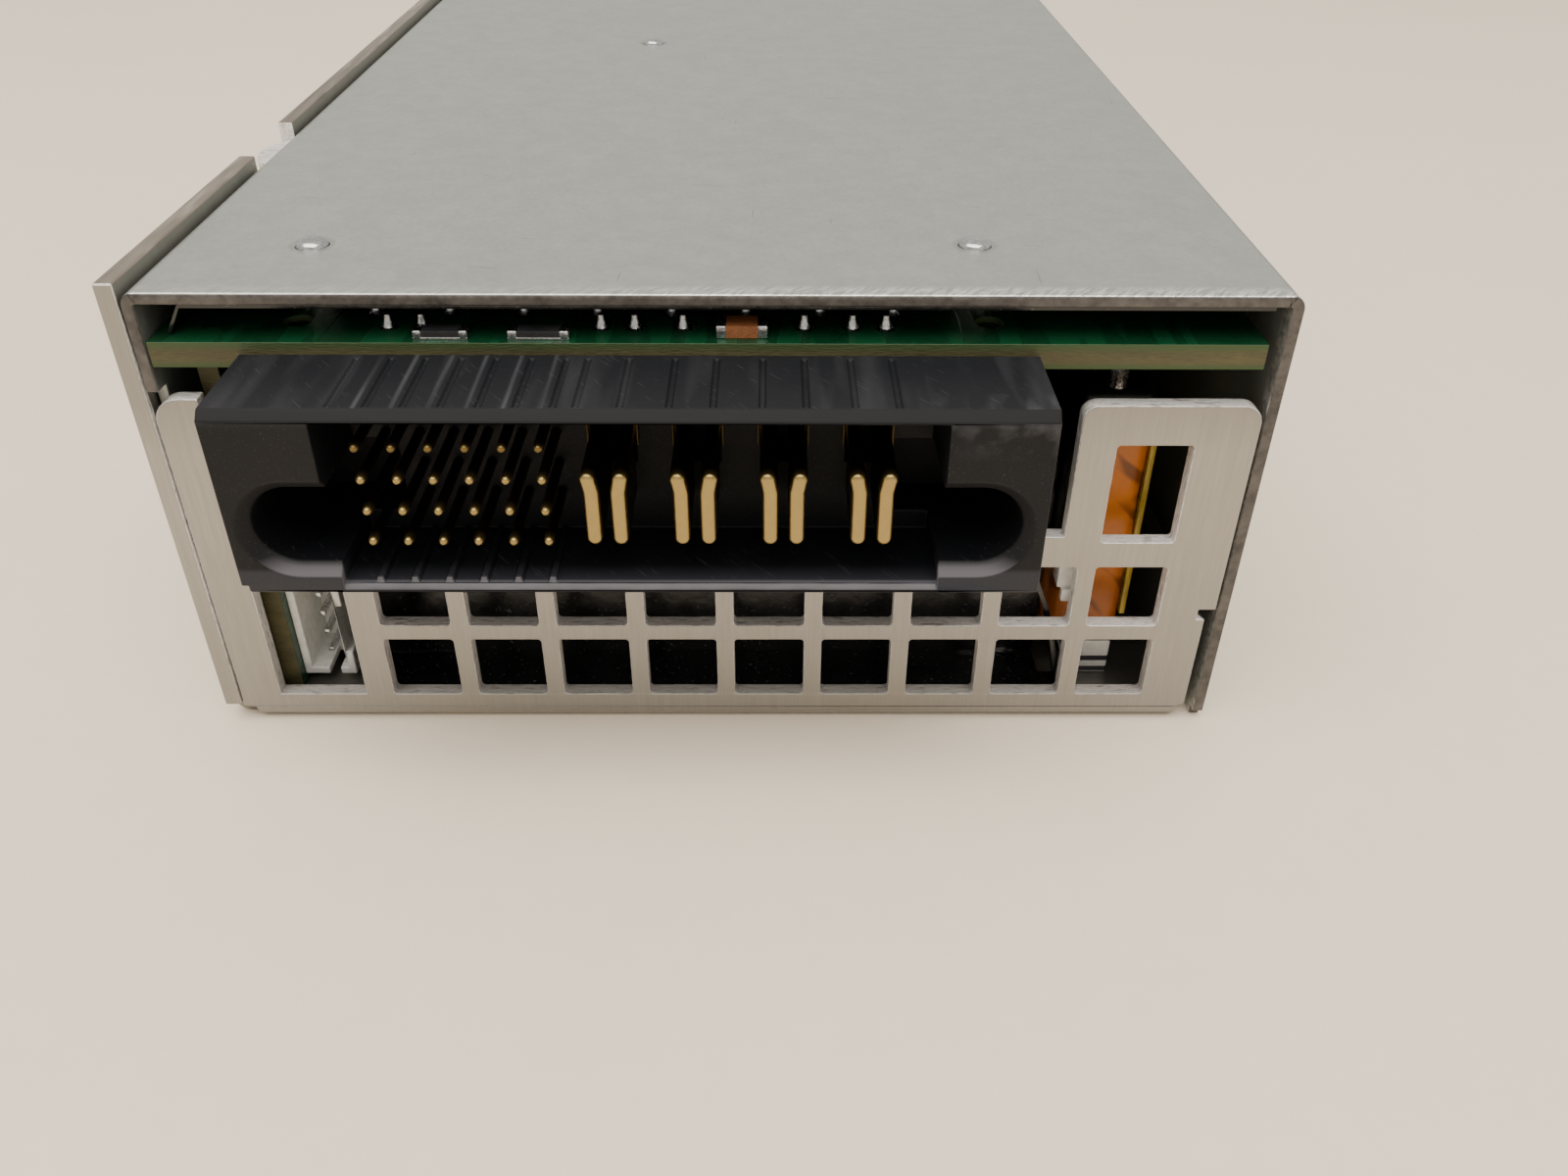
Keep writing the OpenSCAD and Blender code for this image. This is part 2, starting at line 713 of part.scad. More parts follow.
// Two angle brackets that carry the bail's ends
module handle_brackets() {
  color("#b4b2ab") for (s = [-1, 1]) translate([bail_x, 0, 0]) mirror([s < 0 ? 1 : 0, 0, 0]) {
    x = bail_w / 2 + bail_r + 1.2;
    difference() {
      union() {
        block(x, case_l + 0.02, 27.5, ear_t, 5, 11);
        bar_x(x, bail_y, bail_z, 3.4, ear_t);
        block(x, case_l + 0.02, 27.5, 8, ear_t, 11);
      }
      bar_x(x - 1, bail_y, bail_z, stub_r + run_gap, ear_t + 2);
      for (z = [30, 36]) bar_y(bail_w / 2 + 7.5, case_l - 5, z, 1.05, 10);
    }
  }
}

module bracket_rivets() {
  color("#c9cacb") for (s = [-1, 1], z = [30, 36])
    translate([bail_x + s * (bail_w / 2 + 7.5), case_l, z]) {
      bar_y(0, -base_t - 0.7, 0, 1, base_t + ear_t + 1);
      bar_y(0, ear_t + 0.02, 0, 1.8, 0.8);
      bar_y(0, -base_t - 0.82, 0, 1.7, 0.8);
    }
}

// Bent rod: two legs, two round corners, a cross bar and two pivot stubs
module handle_bail() {
  color("#3a3c40") translate([bail_x, bail_y, bail_z]) {
    for (s = [-1, 1]) mirror([s < 0 ? 1 : 0, 0, 0]) {
      translate([bail_w / 2, 0, bail_bend - bail_h]) cylinder(h = bail_h - bail_bend, r = bail_r);
      translate([bail_w / 2, 0, 0]) sphere(bail_r);
      bar_x(bail_w / 2, 0, 0, stub_r, bail_r + ear_t + 1.7);
      translate([bail_w / 2 - bail_bend, 0, bail_bend - bail_h]) rotate([-90, 0, 0])
        rotate_extrude(angle = 90) translate([bail_bend, 0]) circle(bail_r);
    }
    bar_x(bail_bend - bail_w / 2, 0, -bail_h, bail_r, bail_w - 2 * bail_bend);
  }
}

// Soft sleeve on the cross bar, with shallow finger grooves
module handle_grip() {
  grip_l = bail_w - 2 * bail_bend - 6;
  color("#26272a") translate([bail_x - grip_l / 2, bail_y, bail_z - bail_h]) difference() {
    bar_x(0, 0, 0, 3.4, grip_l);
    bar_x(-1, 0, 0, bail_r, grip_l + 2);
    for (i = [1:4]) translate([i * grip_l / 5, 0, 0]) rotate([0, 90, 0])
      rotate_extrude() translate([3.9, 0]) circle(0.9);
  }
}

// Folded bracket on the floor that carries the latch's pin and spring
module latch_bracket() {
  color("#9fa1a2") difference() {
    union() {
      block(web_x, pivot_y - 4, base_t, 1.2, 18, 27);
      block(web_x - 6, pivot_y - 4, base_t, 7, 18, 1.2);
      for (z = [latch_z - 1.7, latch_z + latch_h + 0.5]) {
        block(web_x, pivot_y - 4, z, pivot_x - web_x, 8, 1.2);
        translate([pivot_x, pivot_y, z]) cylinder(h = 1.2, r = 2.4);
      }
    }
    translate([pivot_x, pivot_y, 5]) cylinder(h = 30, r = pivot_r);
    for (p = bracket_screw_at) translate([p[0], p[1], 0]) cylinder(h = 5, r = 1.25);
  }
}

module latch_pin() {
  color("#c9cacb") translate([pivot_x, pivot_y, latch_z - 2.4]) {
    cylinder(h = latch_h + 4.8, r = pivot_r);
    cylinder(h = 0.7, r = 1.9);
    translate([0, 0, latch_h + 4.1]) cylinder(h = 0.7, r = 1.9);
  }
}

// Lever: pivot barrel, flat arm and the tooth that locks behind the bay's edge
module latch_arm() {
  tooth_y = case_l - 16;
  tooth_x = right_x + 2.2;
  arm_out = latch_in + latch_t;
  color("#b7b9ba") difference() {
    union() {
      translate([pivot_x, pivot_y, latch_z]) cylinder(h = latch_h, r = 2.1);
      block(latch_in, pivot_y, latch_z, latch_t, latch_l, latch_h);
      translate([0, 0, latch_z + 1]) linear_extrude(latch_h - 2)
        polygon([[arm_out - 0.5, tooth_y], [tooth_x, tooth_y + 7.5], [tooth_x, tooth_y + 8.6],
          [arm_out - 0.5, tooth_y + 8.6]]);
    }
    translate([pivot_x, pivot_y, latch_z - 1]) cylinder(h = latch_h + 2, r = pivot_r + run_gap);
  }
}

// Moulded thumb pad on the end of the arm, with grip ribs
module latch_pad() {
  pad_y = case_l + 3;
  pad_l = pivot_y + latch_l + 1.4 - pad_y;
  pad_x = latch_in - 1.2;
  color("#1f5f8f") difference() {
    union() {
      along_x(pad_x, latch_t + 2.4) translate([pad_y, latch_z - 1.4]) round_rect(pad_l, latch_h + 2.8, 1.5);
      for (i = [0:3]) translate([pad_x + latch_t + 2.3, pad_y + 2 + i * 1.9, latch_z + 0.6])
        cylinder(h = latch_h - 1.2, r = 0.5);
    }
    block(latch_in, pad_y - 1, latch_z, latch_t, pad_l - 0.4, latch_h);
  }
}

// Points of a ring of the spring's wire, at a turn angle along the coil
function spring_ring(angle, rise) = [for (k = [0:spring_sides - 1])
  let (a = k * 360 / spring_sides, r = spring_r + spring_wire * cos(a))
  [rise * angle / 360 + spring_wire * sin(a), r * cos(angle), r * sin(angle)]];

// Coil spring between the bracket and the arm, swept along its helix
module latch_spring() {
  gap = latch_in - seat_x - 2 * spring_wire - 0.1;
  steps = spring_turns * 14;
  rings = [for (i = [0:steps]) spring_ring(i * 360 / 14, gap / spring_turns)];
  sides = spring_sides;
  color("#b9bbbc") translate([seat_x + spring_wire + 0.05, spring_y, latch_z + latch_h / 2])
    polyhedron([for (ring = rings) each ring], concat(
      [[for (k = [sides - 1:-1:0]) k], [for (k = [0:sides - 1]) steps * sides + k]],
      [for (i = [0:steps - 1], k = [0:sides - 1])
        [i * sides + k, i * sides + (k + 1) % sides, (i + 1) * sides + (k + 1) % sides, (i + 1) * sides + k]]));
}

chassis_base();
top_cover();
cover_studs();
cover_screws();
cover_film();
end_panel();
panel_foot();
floor_screws();
main_board();
board_screws();
connector_housing();
signal_pins();
power_blades();
solder_joints();
chip_capacitors();
shunt_resistors();
control_chips();
power_transistors();
bulk_capacitors();
choke_cores();
choke_windings();
board_fuse();
side_board();
balance_header();
balance_pins();
side_board_chips();
film_tray();
battery_cells();
cell_vents();
cell_holders();
nickel_strips();
foam_pad();
sensor_bead();
pack_socket();
pack_plug();
lead_red();
lead_black();
taped_choke();
choke_pins();
margin_tape();
blank_label();
sensor_plug();
led_board();
status_leds();
light_pipes();
handle_brackets();
bracket_rivets();
handle_bail();
handle_grip();
latch_bracket();
latch_pin();
latch_arm();
latch_pad();
latch_spring();
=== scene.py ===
import math

import bmesh
import bpy
from bpy.props import FloatProperty, FloatVectorProperty, IntProperty, PointerProperty
from mathutils import Matrix, Vector, noise
from mathutils.bvhtree import BVHTree


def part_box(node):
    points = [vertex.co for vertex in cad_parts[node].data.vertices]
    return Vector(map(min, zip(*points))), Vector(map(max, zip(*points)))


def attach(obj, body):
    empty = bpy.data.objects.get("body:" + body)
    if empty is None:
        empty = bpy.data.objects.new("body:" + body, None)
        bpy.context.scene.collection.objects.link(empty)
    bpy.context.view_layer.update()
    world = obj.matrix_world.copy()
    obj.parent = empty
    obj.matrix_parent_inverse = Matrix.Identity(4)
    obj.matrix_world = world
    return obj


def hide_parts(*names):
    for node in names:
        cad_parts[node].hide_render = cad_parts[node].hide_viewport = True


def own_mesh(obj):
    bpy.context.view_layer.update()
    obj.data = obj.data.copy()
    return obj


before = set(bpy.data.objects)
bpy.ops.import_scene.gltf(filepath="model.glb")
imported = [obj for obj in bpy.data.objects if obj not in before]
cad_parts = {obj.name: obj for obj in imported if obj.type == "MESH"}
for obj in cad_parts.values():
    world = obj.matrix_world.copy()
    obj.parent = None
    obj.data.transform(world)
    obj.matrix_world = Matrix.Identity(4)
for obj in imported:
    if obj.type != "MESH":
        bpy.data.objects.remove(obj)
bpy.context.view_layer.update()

bl_info = {
    "name": "Rack battery module",
    "version": (1, 0, 0),
    "blender": (4, 5, 0),
    "location": "View3D > Sidebar > Rack battery",
    "description": "Builds the finished pieces of a hot-plug rack battery module round its frame",
    "category": "Object",
}

MM = 0.001
CASE = "chassis"
PIN_PITCH = 2.54  # of the signal pins, in millimetres
LEFT_WALL = -41.5  # inner side of the case's left wall, in millimetres
PLATE_BACK = 1.45  # just behind the end plate, in millimetres


def linear(code):
    """An sRGB hex colour as a linear colour with alpha."""
    channels = [int(code[i : i + 2], 16) / 255 for i in (1, 3, 5)]
    return tuple(c / 12.92 if c <= 0.04045 else ((c + 0.055) / 1.055) ** 2.4 for c in channels) + (1.0,)


def colour_prop(name, description, code):
    """A colour that a user may change, with its default as a hex code."""
    return FloatVectorProperty(
        name=name, description=description, default=linear(code), size=4, subtype="COLOR", min=0, max=1
    )


def length_prop(name, description, millimetres):
    """A length that a user may change, with its default in millimetres."""
    return FloatProperty(
        name=name, description=description, default=millimetres * MM, min=0, subtype="DISTANCE", unit="LENGTH"
    )


class ColourSettings(bpy.types.PropertyGroup):
    cover: colour_prop("Cover", "Galvanised sheet of the cover", "#b9bfbb")
    case: colour_prop("Case", "Brushed sheet of the base and the end panel", "#a9a7a2")
    housing: colour_prop("Housing", "Moulded nylon of the connector", "#0a0c11")
    contacts: colour_prop("Contacts", "Gold plating of pins and blades", "#aa9561")
    board: colour_prop("Board", "Solder mask of the boards", "#0d3d24")
    tape: colour_prop("Choke tape", "Film tape round the choke", "#c87018")
    cells: colour_prop("Cell sleeve", "Shrink sleeve of the cells", "#3f6fa3")
    pad: colour_prop("Latch pad", "Moulded thumb pad of the latch", "#1f5f8f")
    handle: colour_prop("Handle", "Powder coat of the bail", "#34363a")


class DetailSettings(bpy.types.PropertyGroup):
    sheet_round: length_prop("Sheet edge", "Rounding of the sheet metal's cut edges", 0.12)
    mould_round: length_prop("Moulded edge", "Rounding of moulded edges", 0.14)
    small_round: length_prop("Small edge", "Rounding of small parts' edges", 0.06)
    die_roll: length_prop("Rolled edge", "Rounding that shearing leaves on the cut edges in front", 0.32)
    # Also sets how far the painted highlight behind the cover's front edge reaches.
    wear_and_highlight_depth: length_prop("Edge wear", "How far wear reaches in from the cover's front edge", 1.9)
    leg_pitch: length_prop("Chip leg pitch", "Distance between the legs of a chip", 1.27)
    wire_pitch: length_prop("Winding pitch", "Distance between turns on the board chokes", 1.15)
    spring_turns: IntProperty(
        name="Spring turns", description="Turns of the latch spring", default=6, min=3, max=9
    )
    grip_ribs: IntProperty(
        name="Grip ribs", description="Ribs on the handle's sleeve", default=11, min=3, max=20
    )


class StageSettings(bpy.types.PropertyGroup):
    camera_place: FloatVectorProperty(
        name="Camera", description="Place of the camera", default=(0.00477, -0.08589, 0.07473),
        subtype="TRANSLATION",
    )
    camera_turn: FloatVectorProperty(
        name="Turn", description="Turn of the camera",
        default=[math.radians(a) for a in (54.899, -0.350, -0.451)], subtype="EULER",
    )
    lens: FloatProperty(
        name="Lens", description="Focal length on a 36 mm sensor", default=29.16, min=10, max=200
    )
    floor: colour_prop("Floor", "Plain pale floor", "#fbeedb")
    fill: FloatProperty(name="Fill", description="Strength of the even light", default=0.88, min=0, max=5)


# ---------------------------------------------------------------- node trees


def add(tree, kind, inputs=None, **settings):
    """Adds a node, sets its settings, and fills its sockets with values or links."""
    node = tree.nodes.new(kind)
    for name, value in settings.items():
        setattr(node, name, value)
    for key, value in (inputs or {}).items():
        if isinstance(value, bpy.types.NodeSocket):
            tree.links.new(value, node.inputs[key])
        else:
            node.inputs[key].default_value = value
    return node


def shader_of(material):
    return material.node_tree.nodes["Principled BSDF"]


def remap(tree, value, low, high, to_low=0.0, to_high=1.0):
    """A value spread from one range to another and held inside it."""
    sockets = {"Value": value, "From Min": low, "From Max": high, "To Min": to_low, "To Max": to_high}
    return add(tree, "ShaderNodeMapRange", sockets).outputs["Result"]


def times(tree, first, *others):
    """The product of two or more masks or numbers."""
    for other in others:
        first = add(tree, "ShaderNodeMath", {0: first, 1: other}, operation="MULTIPLY").outputs[0]
    return first


def grain(tree, size, stretch=(1, 1, 1), turn=(0, 0, 0), detail=2.0, low=0.3, high=0.7):
    """Noise from 0 to 1 whose grains measure size millimetres, drawn out by stretch."""
    place = add(tree, "ShaderNodeTexCoord").outputs["Object"]
    scale = tuple(1 / s for s in stretch)
    turned = add(tree, "ShaderNodeMapping", {"Vector": place, "Rotation": turn}).outputs[0]
    grid = add(tree, "ShaderNodeMapping", {"Vector": turned, "Scale": scale}).outputs[0]
    sockets = {"Vector": grid, "Scale": 1 / (size * MM), "Detail": detail}
    return remap(tree, add(tree, "ShaderNodeTexNoise", sockets).outputs["Fac"], low, high)


def band(tree, axis, start, end):
    """A mask that falls from 1 to 0 between two places on an axis, in millimetres."""
    place = add(tree, "ShaderNodeTexCoord").outputs["Object"]
    along = add(tree, "ShaderNodeSeparateXYZ", {0: place}).outputs[axis]
    return remap(tree, along, start * MM, end * MM, 1.0, 0.0)


def beyond(tree, axis, start, end):
    """A mask that rises from 0 to 1 between two places on an axis, in millimetres."""
    return remap(tree, band(tree, axis, start, end), 0.0, 1.0, 1.0, 0.0)


def slats(tree, axis, pitch, start, low, high):
    """A mask of soft stripes: 0 below low and 1 above high, as shares of half a pitch in millimetres."""
    place = add(tree, "ShaderNodeTexCoord").outputs["Object"]
    along = add(tree, "ShaderNodeSeparateXYZ", {0: place}).outputs[axis]
    moved = add(tree, "ShaderNodeMath", {0: along, 1: start * MM}, operation="SUBTRACT").outputs[0]
    wave = add(tree, "ShaderNodeMath", {0: moved, 1: pitch / 2 * MM}, operation="PINGPONG").outputs[0]
    return remap(tree, wave, low * pitch / 2 * MM, high * pitch / 2 * MM)


def ring(tree, centre, radius, width):
    """A soft ring mask about an upright axis, in millimetres."""
    place = add(tree, "ShaderNodeTexCoord").outputs["Object"]
    sockets = {0: place, 1: (centre[0] * MM, centre[1] * MM, 0)}
    offset = add(tree, "ShaderNodeVectorMath", sockets, operation="SUBTRACT").outputs[0]
    flat = add(tree, "ShaderNodeVectorMath", {0: offset, 1: (1, 1, 0)}, operation="MULTIPLY").outputs[0]
    reach = add(tree, "ShaderNodeVectorMath", {0: flat}, operation="LENGTH").outputs["Value"]
    away = add(tree, "ShaderNodeMath", {0: reach, 1: radius * MM}, operation="SUBTRACT").outputs[0]
    near = add(tree, "ShaderNodeMath", {0: away}, operation="ABSOLUTE").outputs[0]
    return remap(tree, near, 0.0, width * MM, 1.0, 0.0)


def overlay(material, socket, factor, value):
    """Mixes a new colour or number over what a shader socket already has."""
    tree = material.node_tree
    target = shader_of(material).inputs[socket]
    is_colour = target.type == "RGBA"
    under = target.links[0].from_socket if target.links else target.default_value
    a, b, out = (6, 7, 2) if is_colour else (2, 3, 0)
    mixed = add(tree, "ShaderNodeMix", {0: factor, b: value}, data_type="RGBA" if is_colour else "FLOAT")
    if target.links:
        tree.links.new(under, mixed.inputs[a])
    else:
        mixed.inputs[a].default_value = under
    tree.links.new(mixed.outputs[out], target)


def tint(material, mask, code, share=1.0):
    """Lays a hex colour over the base colour where a mask is, up to a share of full cover."""
    overlay(material, "Base Color", times(material.node_tree, mask, share), linear(code))


def raise_by(material, height, distance):
    """Adds a relief of a height in millimetres on top of the relief that is there."""
    tree = material.node_tree
    target = shader_of(material).inputs["Normal"]
    sockets = {"Height": height, "Distance": distance * MM}
    if target.links:
        sockets["Normal"] = target.links[0].from_socket
    tree.links.new(add(tree, "ShaderNodeBump", sockets).outputs[0], target)


def surface(name, dark, light, size, stretch=(1, 1, 1), rough=(0.4, 0.5), bump=0.01, broad=10, **sockets):
    """A finish whose colour, roughness and relief all follow one grain of a real size.

    dark and light are linear colours, size is the grain in millimetres, stretch draws the
    grain out, broad is how many grains wide the larger mottling is, and bump is in millimetres.
    """
    material = bpy.data.materials.new(name)
    material.use_nodes = True
    tree = material.node_tree
    tree.nodes.clear()
    fine = grain(tree, size, stretch, detail=3.0)
    mottle = grain(tree, size * broad, stretch, detail=2.0)
    blended = add(tree, "ShaderNodeMix", {0: 0.45, 2: fine, 3: mottle}, data_type="FLOAT").outputs[0]
    colour = add(tree, "ShaderNodeMix", {0: blended, 6: dark, 7: light}, data_type="RGBA").outputs[2]
    gloss = remap(tree, blended, 0.0, 1.0, rough[0], rough[1])
    relief = add(tree, "ShaderNodeBump", {"Height": fine, "Distance": bump * MM}).outputs[0]
    values = {"Base Color": colour, "Roughness": gloss, "Normal": relief, **sockets}
    shader = add(tree, "ShaderNodeBsdfPrincipled", values)
    add(tree, "ShaderNodeOutputMaterial", {"Surface": shader.outputs[0]})
    return material


def shade(colour, amount):
    """A colour made darker or lighter."""
    return tuple(min(1.0, c * amount) for c in colour[:3]) + (1.0,)


def scratch_mask(tree, turn, length, width, rarity):
    """Rare thin marks: long narrow noise of which only the peaks show."""
    return grain(tree, 1.0, (length, width, width), (0, 0, turn), detail=1.0, low=rarity, high=rarity + 0.03)


# ---------------------------------------------------------------- finishes


def galvanised_sheet(colours):
    """Galvanised steel: a cool grey, softly mottled zinc skin, worn smoother at the front and lightened there
    by a painted highlight.
    """
    base = colours.cover
    material = surface(
        "galvanised steel sheet", shade(base, 0.88), base, 0.4, rough=(0.42, 0.52), bump=0.006, broad=6,
        Metallic=0.82,
    )
    tree = material.node_tree
    for turn, rarity in ((0.15, 0.77), (1.6, 0.79)):
        tint(material, scratch_mask(tree, turn, 7.0, 0.22, rarity), "#4d5152", 0.5)
    smudge = grain(tree, 14.0, detail=2.0, low=0.45, high=0.75)
    overlay(material, "Roughness", times(tree, smudge, 0.22), 0.60)
    for lo, hi in solids("cover_studs"):
        centre = ((lo.x + hi.x) / 2 / MM, (lo.y + hi.y) / 2 / MM)
        tint(material, ring(tree, centre, 1.55, 0.3), "#6c7172", 0.3)
        raise_by(material, ring(tree, centre, 1.9, 0.6), 0.02)
    # Painted highlight: a streaked near-white band behind the front edge, stronger to the right. The same
    # band is made smoother and given a slight relief as real wear.
    depth = details().wear_and_highlight_depth / MM
    more_at_right = remap(tree, beyond(tree, 0, -14, 6), 0.0, 1.0, 0.25, 1.0)
    front_wear_and_highlight = times(tree, band(tree, 1, 0.55 * depth, depth), more_at_right)
    streaks = grain(tree, 0.5, (0.5, 2.6, 1), (0, 0, 0.7), detail=3.0, low=0.36, high=0.62)
    rubbed = times(tree, front_wear_and_highlight, streaks)
    tint(material, rubbed, "#f2f1ee")
    overlay(material, "Roughness", times(tree, front_wear_and_highlight, 0.8), 0.30)
    raise_by(material, rubbed, 0.02)
    return material


def brushed_sheet(colours):
    """Brushed steel: warm grey with fine upright brush lines, so highlights spread sideways, with painted
    shade high up and low down.
    """
    base = colours.case
    material = surface(
        "brushed steel sheet", shade(base, 0.80), base, 0.12, (1, 1, 26), (0.30, 0.44), 0.006, 4,
        Metallic=0.86,
    )
    tree = material.node_tree
    lines = grain(tree, 0.35, (1, 1, 60), detail=2.0, low=0.42, high=0.6)
    tint(material, lines, "#8f8a80", 0.14)
    # Painted shade high up: darker above 27 to 31 mm, as the sheet there reflects a darker ceiling.
    tint(material, beyond(tree, 2, 27.0, 31.0), "#6f6d68", 0.30)
    # Painted shade low down: darker below 2 to 21 mm.
    tint(material, band(tree, 2, 2.0, 21.0), "#757472", 0.35)
    stain = grain(tree, 9.0, detail=3.0, low=0.5, high=0.75)
    tint(material, stain, "#a39a8b", 0.30)
    overlay(material, "Roughness", times(tree, stain, 0.5), 0.5)
    return material


def sheared_edge(colours):
    """Sheared steel: the cut face of a sheet, half burnished bright and half torn to small facets."""
    material = surface(
        "sheared steel edge", linear("#cfccc8"), linear("#ffffff"), 0.16, (1.8, 0.6, 1.8), (0.25, 0.5), 0.05,
        5, Metallic=0.3,
    )
    tree = material.node_tree
    torn = grain(tree, 0.6, (2.4, 0.6, 2.4), detail=3.0, low=0.54, high=0.66)
    tint(material, torn, "#6f6a66", 0.6)
    # Painted shade: the cut faces are darker below 2.5 to 11 mm.
    tint(material, band(tree, 2, 2.5, 11), "#8d8882", 0.6)
    return material


def rolled_edge(colours):
    """The top edge of the left wall: rubbed smooth and warm brown grey, with a few painted highlight streaks.
    """
    material = surface(
        "rubbed wall edge", linear("#6f665c"), linear("#b3a99c"), 0.5, (1, 16, 1), (0.28, 0.42), 0.01, 6,
        Metallic=0.8,
    )
    # Painted highlight: a few pale streaks along the edge.
    bright = grain(material.node_tree, 3.0, (0.3, 3, 1), detail=2.0, low=0.54, high=0.68)
    tint(material, bright, "#dcd5cb", 0.4)
    return material


def dull_edge(colours):
    """Weathered cut edge: brownish grey, from zinc that stops at the cut."""
    return surface(
        "weathered steel edge", linear("#403e3d"), linear("#6d6a68"), 0.3, (2, 0.7, 2), (0.42, 0.55), 0.01, 6,
        Metallic=0.7,
    )


def moulded_nylon(colours):
    """Glass-filled nylon: near black, faintly blue, satin as moulded, lighter on the top face and at the
    cavity mouth by painted light, and greyer at the front of the right end by wear and a painted highlight.
    """
    base = colours.housing
    material = surface(
        "moulded glass-filled nylon", shade(base, 0.86), base, 0.16, (1, 1, 1), (0.5, 0.6), 0.004, 20,
        IOR=1.33,
    )
    tree = material.node_tree
    # Painted light: the top face is made greyer, as lit from above.
    top = beyond(tree, 2, 34.0, 34.4)
    tint(material, top, "#24262c", 0.4)
    first, last = (corner.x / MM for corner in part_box("signal_pins"))
    over_pins = times(tree, band(tree, 0, last, last + 1), beyond(tree, 0, first - 1.5, first))
    rows = slats(tree, 0, PIN_PITCH, first - 0.4, 0.80, 1.0)
    streaks = grain(tree, 1.2, (0.6, 12, 1), detail=2.0, low=0.35, high=0.6)
    tint(material, times(tree, rows, over_pins, streaks, top), "#5a5b60", 0.5)
    # Wear and painted highlight: a greyer streaked patch high up near the front, towards the right end.
    rubbed = grain(tree, 1.4, (1, 4, 1), low=0.45, high=0.7)
    near_front = times(tree, band(tree, 1, -7.5, -6.0), beyond(tree, 2, 31.5, 34))
    tint(material, times(tree, beyond(tree, 0, 12, 32), rubbed, near_front), "#606167", 0.6)
    # Painted light at the cavity mouth: the floor is lighter near the front and fades deeper in.
    sill = times(tree, band(tree, 1, -9.1, -6.4), band(tree, 2, 22.2, 22.6))
    tint(material, sill, "#3b3d44", 0.5)
    behind_front = times(tree, beyond(tree, 1, -9.27, -9.2), band(tree, 1, -8.7, -8.4))
    tint(material, times(tree, behind_front, band(tree, 2, 22.1, 23.3)), "#5b5960", 0.95)
    broad = grain(tree, 2.6, (1, 9, 1), detail=2.0, low=0.5, high=0.7)
    tint(material, times(tree, broad, top), "#4c4d51", 0.25)
    tint(material, scratch_mask(tree, 0.9, 2.4, 0.10, 0.70), "#55565a", 0.35)
    return material


def worn_nylon(colours):
    """The same nylon on the front chamfer, where the mating part rubs it: paler and drawn along X."""
    return surface(
        "rubbed nylon", linear("#0c0d0f"), linear("#191a1d"), 0.5, (6, 1, 1), (0.55, 0.68), 0.006, 6,
        IOR=1.32,
    )


def polished_nylon(colours):
    """The same nylon on the lower lip, burnished pale by use."""
    return surface(
        "burnished nylon", linear("#303137"), linear("#54555c"), 0.8, (3, 1, 1), (0.34, 0.46), 0.004, 5,
        IOR=1.5,
    )


def gold_plating(colours):
    """Gold over copper alloy, bright at the tips, with painted shade behind them inside the housing and on
    the top row.
    """
    base = colours.contacts
    material = surface(
        "gold plated contact", shade(base, 0.80), base, 0.08, (1, 12, 1), (0.30, 0.42), 0.002, 8,
        Metallic=1.0,
    )
    tree = material.node_tree
    # Painted shade inside the housing: darker behind the tips.
    tint(material, beyond(tree, 1, -8.45, -7.6), "#251c10", 0.9)
    # Painted shadow on the top row, under the housing's lid.
    tint(material, beyond(tree, 2, 30.6, 31.4), "#3a2a14", 0.6)
    return material


def solder_mask(colours):
    """Solder mask over glass fibre: deep glossy green with the weave and the copper faintly under it."""
    base = colours.board
    material = surface(
        "green solder mask", shade(base, 0.65), base, 0.5, (1, 1, 1), (0.25, 0.38), 0.004, 10, IOR=1.5
    )
    tree = material.node_tree
    tracks = grain(tree, 1.6, (1, 7, 1), detail=0.0, low=0.49, high=0.51)
    overlay(material, "Base Color", times(tree, tracks, 0.45), shade(base, 1.7))
    raise_by(material, tracks, 0.03)
    return material


def laminate_edge(colours):
    """Cut glass fibre laminate: olive yellow, in thin layers, greener at the main board's two faces."""
    material = surface(
        "sawn laminate", linear("#36341f"), linear("#5a5535"), 0.18, (5, 5, 0.6), (0.55, 0.75), 0.02, 12,
        IOR=1.5,
    )
    tree = material.node_tree
    lo, hi = (corner.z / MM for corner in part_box("main_board"))
    near_top = beyond(tree, 2, hi - 0.75, hi - 0.15)
    near_foot = times(tree, band(tree, 2, lo + 0.1, lo + 0.6), beyond(tree, 2, lo - 0.2, lo))
    for margin in (near_top, near_foot):
        tint(material, margin, "#2e4a22", 0.85)
    return material


def tinned_copper(colours):
    """Tin plate and solder: bright, slightly rippled silver."""
    return surface(
        "bright tin", linear("#9a9da1"), linear("#e3e5e8"), 0.25, (1, 1, 1), (0.18, 0.34), 0.01, 5,
        Metallic=1.0,
    )


def zinc_plating(colours):
    """Zinc plated steel: bright and bluish, with small turned rings."""
    return surface(
        "bright zinc plating", linear("#9fa3a5"), linear("#dfe2e3"), 0.2, (1, 1, 3), (0.16, 0.30), 0.004, 6,
        Metallic=1.0,
    )


def dull_plating(colours):
    """Passivated screw steel: darker grey and less bright."""
    return surface(
        "passivated steel", linear("#6e7071"), linear("#a4a6a7"), 0.25, (1, 1, 1), (0.30, 0.45), 0.006, 6,
        Metallic=0.95,
    )


def insulating_film(colours):
    """Polycarbonate film: black and glossy, with a soft orange-peel that bends reflections."""
    material = surface(
        "black polycarbonate film", linear("#0a0a0b"), linear("#1a1b1d"), 1.6, (1, 1, 1), (0.16, 0.28), 0.02,
        4, IOR=1.58,
    )
    dust = grain(material.node_tree, 0.35, detail=2.0, low=0.66, high=0.72)
    tint(material, dust, "#77777a", 0.35)
    return material


